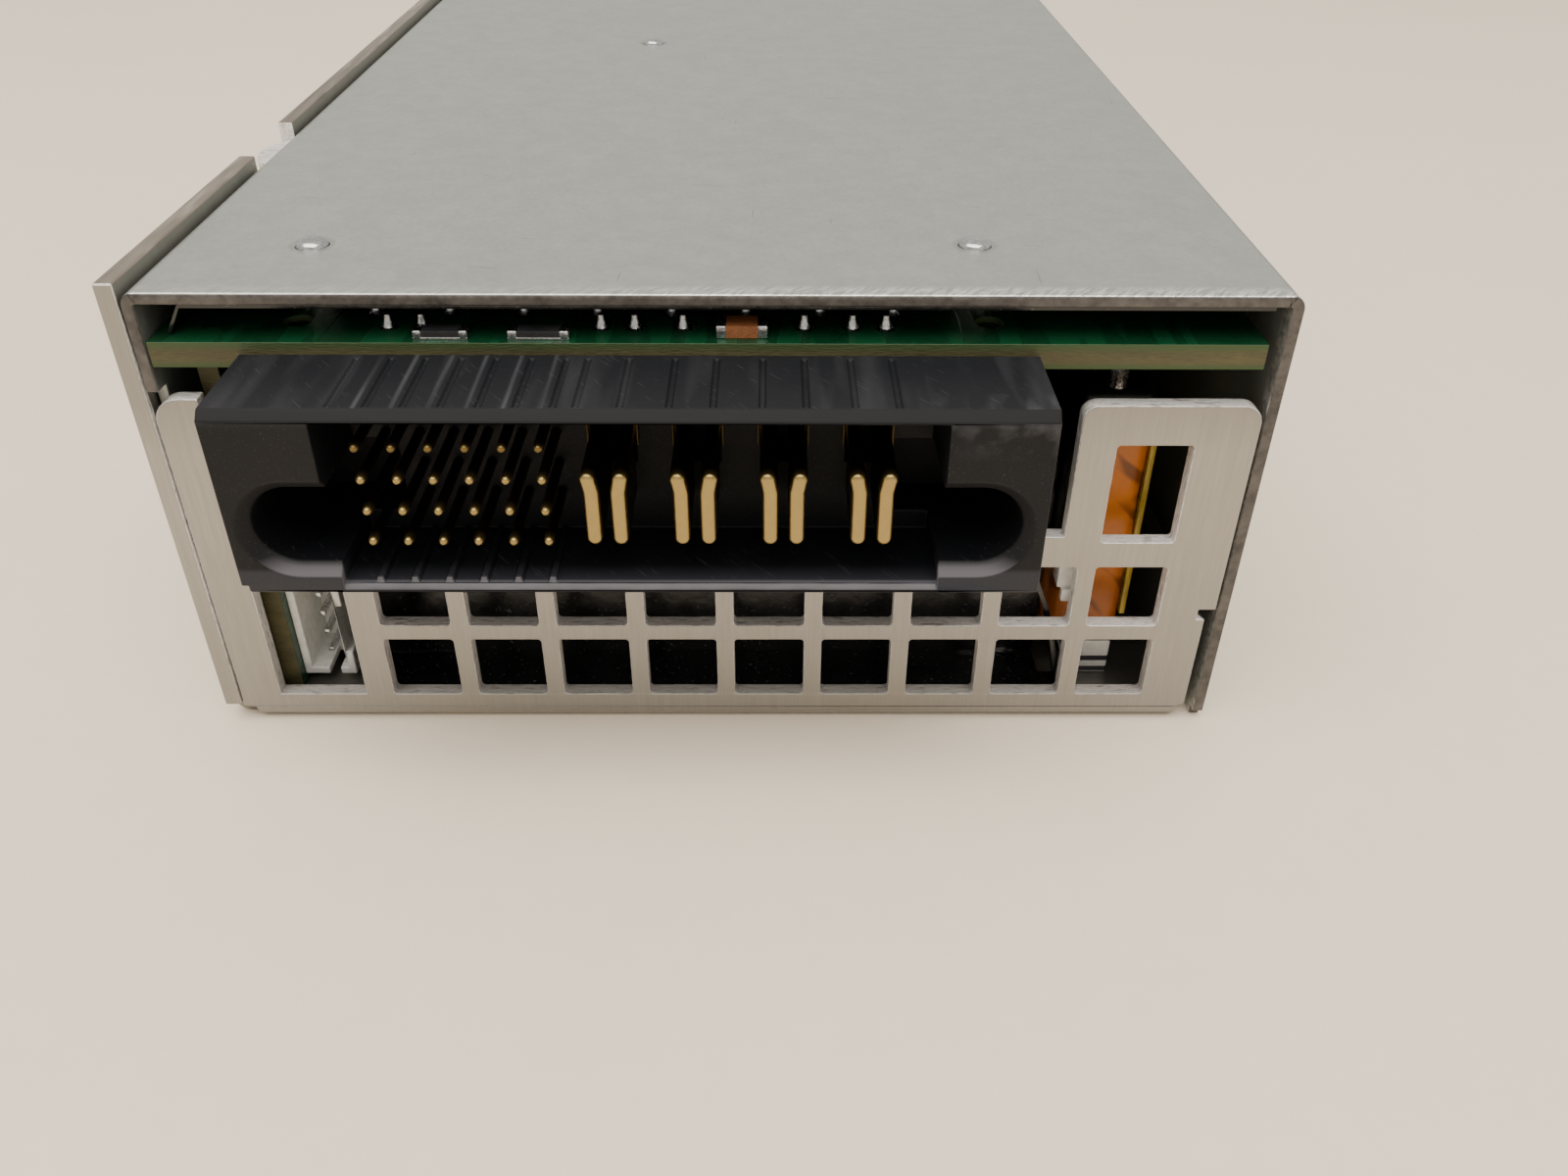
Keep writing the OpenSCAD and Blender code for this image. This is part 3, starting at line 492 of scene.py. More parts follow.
def ceramic(colours):
    """Fired ceramic of a chip capacitor: matt tan brown."""
    return surface(
        "fired ceramic", linear("#6b3f24"), linear("#9c6238"), 0.15, (1, 1, 1), (0.45, 0.6), 0.006, 5, IOR=1.6
    )


def epoxy(colours):
    """Moulded chip epoxy: charcoal with a fine sandy texture."""
    return surface(
        "moulded epoxy", linear("#121315"), linear("#26282b"), 0.09, (1, 1, 1), (0.5, 0.66), 0.006, 9,
        IOR=1.55,
    )


def shrink_sleeve(colours):
    """PVC shrink sleeve: blue and glossy, drawn in faint hoops."""
    base = colours.cells
    return surface(
        "blue shrink sleeve", shade(base, 0.78), base, 0.7, (3, 0.5, 3), (0.18, 0.32), 0.01, 8, IOR=1.53
    )


def can_sleeve(colours):
    """Sleeve of the board capacitors: darker blue and left unprinted."""
    return surface(
        "dark blue can sleeve", linear("#16263d"), linear("#2b4567"), 0.5, (3, 3, 0.6), (0.2, 0.34), 0.008, 7,
        IOR=1.53,
    )


def bare_nickel(colours):
    """Nickel strip: warm silver, rolled lengthwise and a little dull."""
    return surface(
        "rolled nickel", linear("#a09d94"), linear("#d2cfc6"), 0.15, (8, 1, 1), (0.22, 0.36), 0.004, 7,
        Metallic=1.0,
    )


def grey_moulding(colours):
    """Flame-retardant moulding: dark grey, matt."""
    return surface(
        "flame-retardant moulding", linear("#26282b"), linear("#3a3d42"), 0.3, (1, 1, 1), (0.5, 0.64), 0.01,
        8, IOR=1.5,
    )


def natural_nylon(colours):
    """Natural nylon: milky white that lets a little light in."""
    return surface(
        "natural nylon", linear("#c9cac6"), linear("#efefec"), 0.6, (1, 1, 1), (0.32, 0.45), 0.006, 6,
        **{"IOR": 1.53, "Subsurface Weight": 0.08, "Subsurface Radius": (0.001, 0.001, 0.0008)},
    )


def film_tape(colours):
    """Amber film tape over a winding, darker low down, and black over the top and the inner side."""
    base = colours.tape
    material = surface(
        "amber film tape", shade(base, 0.82), shade(base, 1.1), 1.3, (1, 1, 1), (0.32, 0.42), 0.02, 4,
        IOR=1.45,
    )
    tree = material.node_tree
    tint(material, band(tree, 2, 7.0, 17.0), "#6e300d", 0.6)
    marks = grain(tree, 3.0, (0.5, 1, 2.0), (0, 0.7, 0), detail=1.0, low=0.54, high=0.62)
    tint(material, marks, "#4a2410", 0.7)
    # Black over the top above 28.6 mm, and on the inner side near x 31.5 mm above 14.5 mm.
    inner_side = times(tree, beyond(tree, 2, 14.4, 14.7), band(tree, 0, 31.4, 31.6))
    for black in (inner_side, beyond(tree, 2, 28.6, 28.9)):
        tint(material, black, "#0d0c0c")
    return material


def yellow_tape(colours):
    """Yellow polyester tape: thin and glossy."""
    return surface(
        "yellow polyester tape", linear("#86701c"), linear("#c2a53a"), 0.5, (1, 1, 4), (0.2, 0.34), 0.02, 5,
        IOR=1.5,
    )


def paper_label(colours):
    """Coated paper label: white, with two plain printed bars."""
    material = surface(
        "coated paper label", linear("#cfcfca"), linear("#ecece8"), 0.5, (1, 1, 1), (0.4, 0.55), 0.006, 6,
        IOR=1.5,
    )
    tree = material.node_tree
    for start, end in ((1.65, 2.2), (2.85, 3.4)):
        bar = times(tree, band(tree, 2, end, end + 0.06), beyond(tree, 2, start, start + 0.06))
        tint(material, bar, "#26262c")
    return material


def powder_coat(colours):
    """Powder coat: dark grey with a small even orange-peel."""
    base = colours.handle
    return surface(
        "powder coat", shade(base, 0.8), base, 0.35, (1, 1, 1), (0.36, 0.5), 0.02, 9, IOR=1.5
    )


def soft_rubber(colours):
    """Moulded elastomer: nearly black and matt, dusty in its grooves."""
    return surface(
        "moulded elastomer", linear("#17181a"), linear("#2b2c2f"), 0.2, (1, 1, 1), (0.62, 0.8), 0.015, 9,
        IOR=1.5,
    )


def stainless_strip(colours):
    """Stainless spring strip: cool, brushed along the arm."""
    return surface(
        "brushed stainless strip", linear("#8d9091"), linear("#c8cbcc"), 0.1, (1, 22, 1), (0.22, 0.36), 0.004,
        8, Metallic=1.0,
    )


def blue_moulding(colours):
    """Moulded touch-point plastic: mid blue, satin, with a fine spark-eroded texture."""
    base = colours.pad
    return surface(
        "touch-point plastic", shade(base, 0.8), base, 0.16, (1, 1, 1), (0.38, 0.5), 0.012, 9, IOR=1.5
    )


def clear_lens(colours):
    """Clear polycarbonate light pipe: see-through, frosted where it was cut."""
    return surface(
        "clear polycarbonate", linear("#dfe7e8"), linear("#f6fafa"), 0.5, (1, 1, 1), (0.06, 0.16), 0.004, 6,
        **{"IOR": 1.58, "Transmission Weight": 0.75},
    )


def copper_wire(colours):
    """Enamelled copper wire: deep orange red under clear enamel."""
    return surface(
        "enamelled copper", linear("#7d3a1a"), linear("#c47440"), 0.25, (1, 3, 1), (0.18, 0.3), 0.008, 6,
        **{"Metallic": 0.85, "Coat Weight": 0.5, "Coat Roughness": 0.12},
    )


def ferrite(colours):
    """Sintered ferrite: dark stone grey with a fine grit."""
    return surface(
        "sintered ferrite", linear("#232528"), linear("#43464a"), 0.14, (1, 1, 1), (0.45, 0.6), 0.012, 8,
        IOR=1.8,
    )


def closed_foam(colours):
    """Closed-cell foam: charcoal, with cells about half a millimetre wide."""
    return surface(
        "closed-cell foam", linear("#161718"), linear("#34363a"), 0.55, (1, 1, 1), (0.8, 0.95), 0.08, 12,
        IOR=1.5,
    )


def red_silicone(colours):
    """Silicone insulation: matt red."""
    return surface(
        "red silicone", linear("#8c1f1a"), linear("#b93a31"), 0.4, (1, 1, 1), (0.45, 0.6), 0.006, 8, IOR=1.43
    )


def black_silicone(colours):
    """Silicone insulation: matt black."""
    return surface(
        "black silicone", linear("#0e0e0f"), linear("#222325"), 0.4, (1, 1, 1), (0.45, 0.6), 0.006, 8,
        IOR=1.43,
    )


def pale_floor(stage):
    """Plain painted table top: warm off-white, hardly glossy."""
    return surface(
        "pale table top", shade(stage.floor, 0.97), stage.floor, 3.0, (1, 1, 1), (0.5, 0.6), 0.004, 10,
        IOR=1.45,
    )


def made(finish):
    """The material of a finish, made once."""
    name = finish.__name__
    if name not in made.store:
        made.store[name] = finish(bpy.context.scene.rack_battery_colours)
    return made.store[name]


made.store = {}


# ---------------------------------------------------------------- mesh tools


def copied(node):
    """A CAD node's mesh as one closed mesh, without needless points and with no face round a hole."""
    mesh = bmesh.new()
    mesh.from_mesh(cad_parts[node].data)
    bmesh.ops.remove_doubles(mesh, verts=mesh.verts, dist=2e-6)
    bmesh.ops.dissolve_limit(mesh, angle_limit=math.radians(0.6), verts=mesh.verts, edges=mesh.edges)
    wide = [f for f in mesh.faces if len(f.verts) > 4]
    bmesh.ops.triangulate(mesh, faces=wide, quad_method="BEAUTY", ngon_method="BEAUTY")
    return mesh


def island_boxes(mesh):
    """The lowest and highest corner of each separate solid of a mesh."""
    found = []
    left = set(mesh.verts)
    while left:
        stack = [left.pop()]
        group = list(stack)
        while stack:
            for edge in stack.pop().link_edges:
                for vert in edge.verts:
                    if vert in left:
                        left.remove(vert)
                        stack.append(vert)
                        group.append(vert)
        lo = Vector([min(v.co[a] for v in group) for a in range(3)])
        hi = Vector([max(v.co[a] for v in group) for a in range(3)])
        found.append((lo, hi))
    return sorted(found, key=lambda pair: tuple(round(c, 5) for c in pair[0]))


def solids(node):
    """The box of each separate solid of a CAD node, in the order of its place."""
    if node not in solids.store:
        mesh = copied(node)
        solids.store[node] = island_boxes(mesh)
        mesh.free()
    return solids.store[node]


solids.store = {}


def bevel(mesh, edges, width, segments, clamp=False):
    """Rounds some edges of a mesh."""
    return bmesh.ops.bevel(
        mesh, geom=edges, offset=width, offset_type="OFFSET", affect="EDGES", segments=segments, profile=0.5,
        material=-1, clamp_overlap=clamp,
    )


def round_edges(mesh, width, segments=2, least=28, only=None):
    """Rounds the edges that turn by more than least degrees, and keeps each point by its old surface."""
    surface_before = BVHTree.FromBMesh(mesh)
    lo = [min(v.co[a] for v in mesh.verts) for a in range(3)]
    hi = [max(v.co[a] for v in mesh.verts) for a in range(3)]
    sharp = [
        e
        for e in mesh.edges
        if len(e.link_faces) == 2 and e.calc_face_angle(0) > math.radians(least) and (only is None or only(e))
    ]
    bevel(mesh, sharp, width, segments)
    for vert in mesh.verts:
        nearest, _, _, distance = surface_before.find_nearest(vert.co)
        if distance > width:
            vert.co = nearest
        vert.co = [min(max(c, low), high) for c, low, high in zip(vert.co, lo, hi)]


def block(mesh, lo, hi, width=0.0, segments=2):
    """A box between two corners, with rounded edges."""
    size = Vector(hi) - Vector(lo)
    middle = (Vector(hi) + Vector(lo)) / 2
    place = Matrix.Translation(middle) @ Matrix.Diagonal((size.x, size.y, size.z, 1))
    verts = bmesh.ops.create_cube(mesh, size=1, matrix=place)["verts"]
    if width:
        edges = list({e for v in verts for e in v.link_edges})
        done = bevel(mesh, edges, width, segments, clamp=True)
        verts = list({v for f in done["faces"] for v in f.verts} | {v for v in verts if v.is_valid})
    return verts


def foot_of(lo, hi):
    """The middle of a box's lowest face."""
    return ((lo.x + hi.x) / 2, (lo.y + hi.y) / 2, lo.z)


def front_of(lo, hi):
    """The middle of the face that a box turns to the connector end."""
    return ((lo.x + hi.x) / 2, lo.y, (lo.z + hi.z) / 2)


def in_mm(outline):
    """An outline that was given in millimetres."""
    return [(radius * MM, height * MM) for radius, height in outline]


TURNS = {"x": Matrix.Rotation(math.pi / 2, 4, "Y"), "y": Matrix.Rotation(-math.pi / 2, 4, "X"), "z": Matrix()}


def lathe(mesh, outline, place, axis="z", steps=24):
    """Turns an outline of (radius, height) about an axis into a closed solid."""
    verts = [mesh.verts.new((radius, 0, height)) for radius, height in outline]
    edges = [mesh.edges.new(pair) for pair in zip(verts, verts[1:])]
    spun = bmesh.ops.spin(
        mesh, geom=verts + edges, cent=(0, 0, 0), axis=(0, 0, 1), angle=2 * math.pi, steps=steps,
        use_merge=True,
    )
    reached = set(verts)
    stack = list(verts)
    while stack:
        for edge in stack.pop().link_edges:
            for vert in edge.verts:
                if vert not in reached:
                    reached.add(vert)
                    stack.append(vert)
    group = list(reached)
    bmesh.ops.remove_doubles(mesh, verts=group, dist=1e-7)
    group = [v for v in group if v.is_valid]
    bmesh.ops.transform(mesh, matrix=Matrix.Translation(place) @ TURNS[axis], verts=group)
    return group


def piece(name, mesh, finishes, body=CASE, replaces=(), sharp=30, pick=None):
    """Makes a finished object from a mesh, in place, riding on a body.

    pick gives a face's finish from its middle, in millimetres, and its normal.
    """
    bmesh.ops.remove_doubles(mesh, verts=mesh.verts, dist=1e-7)
    bmesh.ops.recalc_face_normals(mesh, faces=mesh.faces)
    for face in mesh.faces:
        face.smooth = True
        if pick:
            face.material_index = pick(face.calc_center_median() / MM, face.normal)
    data = bpy.data.meshes.new(name)
    mesh.to_mesh(data)
    mesh.free()
    for finish in finishes:
        data.materials.append(made(finish))
    data.set_sharp_from_angle(angle=math.radians(sharp))
    thing = bpy.data.objects.new(name, data)
    bpy.context.scene.collection.objects.link(thing)
    level = thing.modifiers.new("flat faces stay flat", "WEIGHTED_NORMAL")
    level.mode = "FACE_AREA"
    level.weight = 100
    level.keep_sharp = True
    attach(thing, body)
    if replaces:
        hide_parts(*replaces)
    return thing


def refined(name, node, finishes, width, body=CASE, segments=2, sharp=34, pick=None, rolled=None):
    """A CAD node's own shape with its edges rounded and its finishes laid on by face.

    rolled picks the edges that the shearing left rounder than the rest.
    """
    mesh = copied(node)
    if rolled:
        round_edges(mesh, details().die_roll, 4, 60, rolled)
    if width:
        round_edges(mesh, width, segments)
    return piece(name, mesh, finishes, body, (node,), sharp, pick)


def details():
    return bpy.context.scene.rack_battery_details


# ---------------------------------------------------------------- case


def rolled_over(edge):
    """A level edge along X between a front face and a face that looks up, at the connector end."""
    a, b = (v.co / MM for v in edge.verts)
    faces = [f.normal for f in edge.link_faces]
    level = abs(a.z - b.z) < 0.2 * abs(a.x - b.x)
    return level and max(a.y, b.y) < 0.6 and min(n.y for n in faces) < -0.9 and max(n.z for n in faces) > 0.9


def cover_face(middle, normal):
    """Cut faces are weathered, and the lip in the left wall's notch is bright."""
    in_notch = middle.x < LEFT_WALL + 0.3 and middle.z > 38.95 and 29 < middle.y < 42
    cut = abs(normal.y) > 0.6 and not 1 <= middle.y <= 195
    return 2 if in_notch else 1 if cut else 0


def base_face(middle, normal):
    """Faces cut through the sheet: the end plate's openings and the top of the left wall."""
    in_plate = middle.y < PLATE_BACK and abs(normal.y) < 0.95 and middle.z > 2.4 and abs(middle.x) < 41.9
    on_wall = middle.x < LEFT_WALL and middle.z > 37.4
    corner = on_wall and middle.z > 38.4 and middle.y < 1.2
    notch = on_wall and abs(normal.y) > 0.5 and middle.y > 5
    if in_plate or corner or notch:
        return 1
    return 2 if on_wall and normal.z > 0.2 else 0


def panel_face(middle, normal):
    """The handle end's panel: its openings are cut faces."""
    return 1 if middle.y > 194.5 and abs(normal.y) < 0.9 else 0


def build_stud(mesh, lo, hi):
    """A clinched standoff: a threaded barrel, a shank through the cover and a domed end."""
    cover_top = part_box("top_cover")[1].z
    height = hi.z - lo.z
    shank = cover_top - lo.z
    barrel = shank - 0.9 * MM
    outer = (hi.x - lo.x) / 2
    dome = 1.25 * MM
    rise = height - shank
    step_up = 0.04 * MM
    outline = [(0, 1.4 * MM), (1.2 * MM, 1.4 * MM), (1.2 * MM, 0), (outer - 0.2 * MM, 0), (outer, 0.2 * MM)]
    outline += [(outer, barrel - 0.1 * MM), (outer - 0.1 * MM, barrel), (dome, barrel)]
    for step in range(6):
        lean = step / 5 * math.pi / 2
        outline.append((dome * math.cos(lean), shank + step_up + (rise - step_up) * math.sin(lean)))
    lathe(mesh, outline, foot_of(lo, hi), steps=32)


class RACKBATTERY_OT_case(bpy.types.Operator):
    """Build the sheet metal case: base, cover and handle end panel"""

    bl_idname = "rack_battery.case"
    bl_label = "Case"

    def execute(self, context):
        width = details().sheet_round
        refined("cover_shell", "top_cover", (galvanised_sheet, dull_edge, sheared_edge), width,
                segments=3, pick=cover_face, rolled=rolled_over)
        refined("base_shell", "chassis_base", (brushed_sheet, sheared_edge, rolled_edge), width,
                segments=3, pick=base_face)
        refined("handle_end_panel", "end_panel", (brushed_sheet, sheared_edge), width,
                pick=panel_face)
        refined("panel_foot_strip", "panel_foot", (brushed_sheet, sheared_edge), width)
        return {"FINISHED"}


class RACKBATTERY_OT_fasteners(bpy.types.Operator):
    """Build the cover's studs and the screws of the case"""

    bl_idname = "rack_battery.fasteners"
    bl_label = "Fasteners"

    def execute(self, context):
        small = details().small_round
        mesh = bmesh.new()
        for lo, hi in solids("cover_studs"):
            build_stud(mesh, lo, hi)
        piece("stud_barrels", mesh, (zinc_plating,), replaces=("cover_studs",))
        refined("case_screws", "cover_screws", (dull_plating,), small)
        refined("floor_screw_set", "floor_screws", (dull_plating,), 2 * small)
        refined("board_screw_set", "board_screws", (zinc_plating,), 2 * small)
        return {"FINISHED"}


class RACKBATTERY_OT_film(bpy.types.Operator):
    """Build the insulating film under the cover"""

    bl_idname = "rack_battery.film"
    bl_label = "Cover film"

    def execute(self, context):
        refined("under_cover_film", "cover_film", (insulating_film,), details().small_round / 2)
        return {"FINISHED"}


# ---------------------------------------------------------------- connector


def housing_face(middle, normal):
    """Rubbed nylon on the front chamfer, and burnished nylon on the sloped lower lip."""
    chamfer = middle.y < -8.5 and middle.z > 34.2 and normal.y < -0.3 and normal.z > 0.3
    lip = middle.y < -8.7 and 20.6 < middle.z < 21.3 and normal.z > 0.5
    return 2 if lip else 1 if chamfer else 0


def build_pin(mesh, lo, hi):
    """A round pin: a small flat tip, a coined ring and a straight shaft."""
    radius = (hi.x - lo.x) / 2
    length = hi.y - lo.y
    outline = [(0, 0.03 * MM), (0.4 * radius, 0.03 * MM), (0.5 * radius, 0.0), (0.68 * radius, 0.05 * MM)]
    outline += [(0.9 * radius, 0.22 * MM), (radius, 0.45 * MM), (radius, length), (0, length)]
    lathe(mesh, outline, front_of(lo, hi), "y", 20)


class RACKBATTERY_OT_housing(bpy.types.Operator):
    """Build the connector's moulded housing"""

    bl_idname = "rack_battery.housing"
    bl_label = "Connector housing"

    def execute(self, context):
        finishes = (moulded_nylon, worn_nylon, polished_nylon)
        refined("connector_shell", "connector_housing", finishes, details().mould_round,
                segments=3, pick=housing_face)
        return {"FINISHED"}


class RACKBATTERY_OT_contacts(bpy.types.Operator):
    """Build the connector's signal pins and power blades"""

    bl_idname = "rack_battery.contacts"
    bl_label = "Contacts"

    def execute(self, context):
        mesh = bmesh.new()
        for lo, hi in solids("signal_pins"):
            build_pin(mesh, lo, hi)
        piece("signal_pin_field", mesh, (gold_plating,), replaces=("signal_pins",), sharp=40)

        mesh = copied("power_blades")
        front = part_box("power_blades")[0].y + 0.02 * MM
        foremost = [e for e in mesh.edges if all(v.co.y < front for v in e.verts)]
        leading = [e for e in foremost if e.calc_face_angle(0) > 0.5]
        bevel(mesh, leading, 0.36 * MM, 4)
        piece("power_blade_pairs", mesh, (gold_plating,), replaces=("power_blades",),
              sharp=40)
        return {"FINISHED"}


# ---------------------------------------------------------------- boards


def board_face(middle, normal):
    return 1 if abs(normal.z) > 0.7 else 0


def side_board_face(middle, normal):
    return 1 if abs(normal.x) > 0.7 else 0


def lamp_board_face(middle, normal):
    return 1 if abs(normal.y) > 0.7 else 0


def build_solder_cone(mesh, lo, hi):
    """A wetted solder joint: a hollow-sided cone round a cut lead."""
    height = hi.z - lo.z
    foot = (hi.x - lo.x) / 2
    outline = [(0, 0), (foot, 0), (0.72 * foot, 0.08 * height), (0.5 * foot, 0.3 * height)]
    outline += [(0.4 * foot, 0.62 * height), (0.34 * foot, 0.94 * height), (0.2 * foot, height), (0, height)]
    lathe(mesh, outline, foot_of(lo, hi), steps=16)


def build_capped_part(body, caps, lo, hi, share):
    """A chip part: a body between two wrapped metal ends."""
    cap = share * (hi.x - lo.x)
    inset = 0.05 * MM
    low = (lo.x + 0.6 * cap, lo.y + inset, lo.z)
    high = (hi.x - 0.6 * cap, hi.y - inset, hi.z - inset)
    block(body, low, high, 0.07 * MM)
    for x0, x1 in ((lo.x, lo.x + cap), (hi.x - cap, hi.x)):
        block(caps, (x0, lo.y, lo.z), (x1, hi.y, hi.z), 0.12 * MM, 3)


def build_legs(mesh, lo, hi, pitch):
    """Gull-wing legs along both long sides of a chip: a shoulder, a drop and a foot."""
    count = int((hi.y - lo.y - 0.6 * MM) / pitch) + 1
    first = (lo.y + hi.y) / 2 - (count - 1) * pitch / 2
    half = 0.19 * MM
    sheet = 0.15 * MM
    mid = (lo.z + hi.z) / 2
    for i in range(count):
        y = first + i * pitch
        for x, way in ((lo.x, -1), (hi.x, 1)):
            runs = ((0, 0.35, mid - sheet / 2, mid + sheet / 2), (0.28, 0.43, lo.z, mid + sheet / 2),
                    (0.3, 0.85, lo.z, lo.z + sheet))
            for a, b, z0, z1 in runs:
                x0, x1 = sorted((x + way * a * MM, x + way * b * MM))
                block(mesh, (x0, y - half, z0), (x1, y + half, z1))


def build_chip(mesh, lo, hi):
    """A moulded chip with drafted edges and a mark for its first leg."""
    block(mesh, lo, hi, 0.12 * MM, 2)
    spot = (lo.x + 1.0 * MM, lo.y + 1.0 * MM, hi.z - 0.02 * MM)
    lathe(mesh, in_mm([(0, 0), (0.4, 0), (0.42, 0.03), (0.3, 0.035), (0, 0.03)]), spot, steps=16)


class RACKBATTERY_OT_boards(bpy.types.Operator):
    """Build the main board and the side board"""

    bl_idname = "rack_battery.boards"
    bl_label = "Boards"

    def execute(self, context):
        small = details().small_round
        for name, node, slot, pick in (
            ("control_board", "main_board", "board_mask", board_face),
            ("sensing_board", "side_board", "board_edge", side_board_face),
            ("lamp_board", "led_board", "board_mask", lamp_board_face),
        ):
            refined(name, node, (laminate_edge, solder_mask), small, pick=pick)
        return {"FINISHED"}


class RACKBATTERY_OT_chip_parts(bpy.types.Operator):
    """Build the small parts on the boards: chip parts, solder joints and integrated circuits"""

    bl_idname = "rack_battery.chip_parts"
    bl_label = "Small board parts"

    def execute(self, context):
        mesh = bmesh.new()
        for lo, hi in solids("solder_joints"):
            build_solder_cone(mesh, lo, hi)
        piece("solder_cones", mesh, (tinned_copper,), replaces=("solder_joints",))

        body, caps = bmesh.new(), bmesh.new()
        for lo, hi in solids("chip_capacitors"):
            build_capped_part(body, caps, lo, hi, 0.2)
        piece("capacitor_bodies", body, (ceramic,), replaces=("chip_capacitors",))
        piece("capacitor_ends", caps, (tinned_copper,))

        body, caps = bmesh.new(), bmesh.new()
        for lo, hi in solids("shunt_resistors"):
            build_capped_part(body, caps, lo, hi, 0.16)
            block(caps, lo, (hi.x, hi.y, lo.z + 0.3 * (hi.z - lo.z)), 0.05 * MM)
        piece("resistor_bodies", body, (epoxy,), replaces=("shunt_resistors",))
        piece("resistor_ends", caps, (tinned_copper,))

        body, legs = bmesh.new(), bmesh.new()
        for lo, hi in solids("control_chips"):
            build_chip(body, lo, hi)
            build_legs(legs, lo, hi, details().leg_pitch)
        piece("chip_mouldings", body, (epoxy,), replaces=("control_chips",))
        piece("chip_legs", legs, (tinned_copper,))
        return {"FINISHED"}


class RACKBATTERY_OT_power_parts(bpy.types.Operator):
    """Build the parts under the board: transistors, capacitors, chokes and the fuse"""

    bl_idname = "rack_battery.power_parts"
    bl_label = "Power parts"

    def execute(self, context):
        body, tabs = bmesh.new(), bmesh.new()
        for lo, hi in solids("power_transistors"):
            block(body, lo, (hi.x, hi.y - 1.6 * MM, hi.z), 0.2 * MM)
            edge = 0.3 * MM
            block(tabs, (lo.x + edge, hi.y - 1.7 * MM, hi.z - 1.3 * MM), (hi.x - edge, hi.y, hi.z), 0.1 * MM)
            half = 0.4 * MM
            for share in (0.2, 0.8):
                x = lo.x + share * (hi.x - lo.x)
                block(tabs, (x - half, lo.y - 1.5 * MM, hi.z - 0.5 * MM), (x + half, lo.y + 0.1 * MM, hi.z))
        piece("transistor_bodies", body, (epoxy,), replaces=("power_transistors",))
        piece("transistor_tabs", tabs, (tinned_copper,))

        mesh = bmesh.new()
        for lo, hi in solids("bulk_capacitors"):
            r = (hi.x - lo.x) / 2
            h = hi.z - lo.z
            outline = [(0, 0.02 * h), (0.72 * r, 0.02 * h), (0.8 * r, 0), (0.93 * r, 0.01 * h), (r, 0.05 * h)]
            outline += [(r, 0.8 * h), (0.94 * r, 0.83 * h), (0.94 * r, 0.86 * h), (r, 0.9 * h)]
            outline += [(r, 0.98 * h), (0.96 * r, h), (0, h)]
            lathe(mesh, outline, foot_of(lo, hi), steps=40)
        piece("capacitor_cans", mesh, (can_sleeve, tinned_copper),
              replaces=("bulk_capacitors",), pick=lambda middle, normal: 1 if normal.z < -0.95 else 0)

        refined("choke_core_pair", "choke_cores", (ferrite,), 0.3 * MM, segments=3)
        mesh = bmesh.new()
        pitch = details().wire_pitch
        for lo, hi in solids("choke_windings"):
            turns = int((hi.y - lo.y) / pitch)
            for i in range(turns):
                y = lo.y + i * pitch
                block(mesh, (lo.x, y, lo.z), (hi.x, y + 0.94 * pitch, hi.z), 0.4 * pitch, 3)
        piece("choke_turns", mesh, (copper_wire,), replaces=("choke_windings",), sharp=60)

        body, caps = bmesh.new(), bmesh.new()
        for lo, hi in solids("board_fuse"):
            end, inset = 2 * MM, 0.2 * MM
            block(body, (lo.x + inset, lo.y + end, lo.z + inset), (hi.x - inset, hi.y - end, hi.z), 0.2 * MM)
            for y0, y1 in ((lo.y, lo.y + end), (hi.y - end, hi.y)):
                block(caps, (lo.x, y0, lo.z), (hi.x, y1, hi.z), 0.25 * MM, 3)
        piece("fuse_body", body, (natural_nylon,), replaces=("board_fuse",))
        piece("fuse_caps", caps, (tinned_copper,))
        return {"FINISHED"}


class RACKBATTERY_OT_sensing_header(bpy.types.Operator):
    """Build the white header on the side board, its pins and the side board's chips"""

    bl_idname = "rack_battery.sensing_header"
    bl_label = "Sensing header"

    def execute(self, context):
        refined("header_shroud", "balance_header", (natural_nylon,), 0.12 * MM, segments=3)
        mesh = bmesh.new()
        for lo, hi in solids("balance_pins"):
            block(mesh, lo, hi, 0.1 * MM, 2)
        piece("header_pins", mesh, (tinned_copper,), replaces=("balance_pins",))
        mesh = bmesh.new()
        for lo, hi in solids("side_board_chips"):
            block(mesh, lo, hi, 0.1 * MM)
        piece("sensing_chips", mesh, (epoxy,), replaces=("side_board_chips",))
        return {"FINISHED"}


# ---------------------------------------------------------------- battery pack


def slice_mesh(mesh, lo, hi, spacing, axes=(0, 1, 2)):
    """Cuts a mesh into a grid, so that it can bend."""
    for axis in axes:
        normal = Vector([1.0 if a == axis else 0.0 for a in range(3)])
        count = int((hi[axis] - lo[axis]) / spacing)
        for i in range(1, count + 1):
            at = Vector(lo) + normal * (hi[axis] - lo[axis]) * i / (count + 1)
            geom = mesh.verts[:] + mesh.edges[:] + mesh.faces[:]
            bmesh.ops.bisect_plane(mesh, geom=geom, plane_co=at, plane_no=normal, dist=1e-6)


def ripple(mesh, wave, height):
    """Moves each vertex a little, by smooth noise of a wavelength."""
    for vert in mesh.verts:
        vert.co += noise.noise_vector(vert.co / wave) * height


class RACKBATTERY_OT_film_tray(bpy.types.Operator):
    """Build the folded film tray that holds the cells"""

    bl_idname = "rack_battery.film_tray"
    bl_label = "Film tray"

    def execute(self, context):
        mesh = copied("film_tray")
        lo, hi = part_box("film_tray")
        slice_mesh(mesh, lo, hi, 5 * MM)
        ripple(mesh, 14 * MM, 0.16 * MM)
        piece("folded_tray", mesh, (insulating_film,), replaces=("film_tray",), sharp=40)
        return {"FINISHED"}


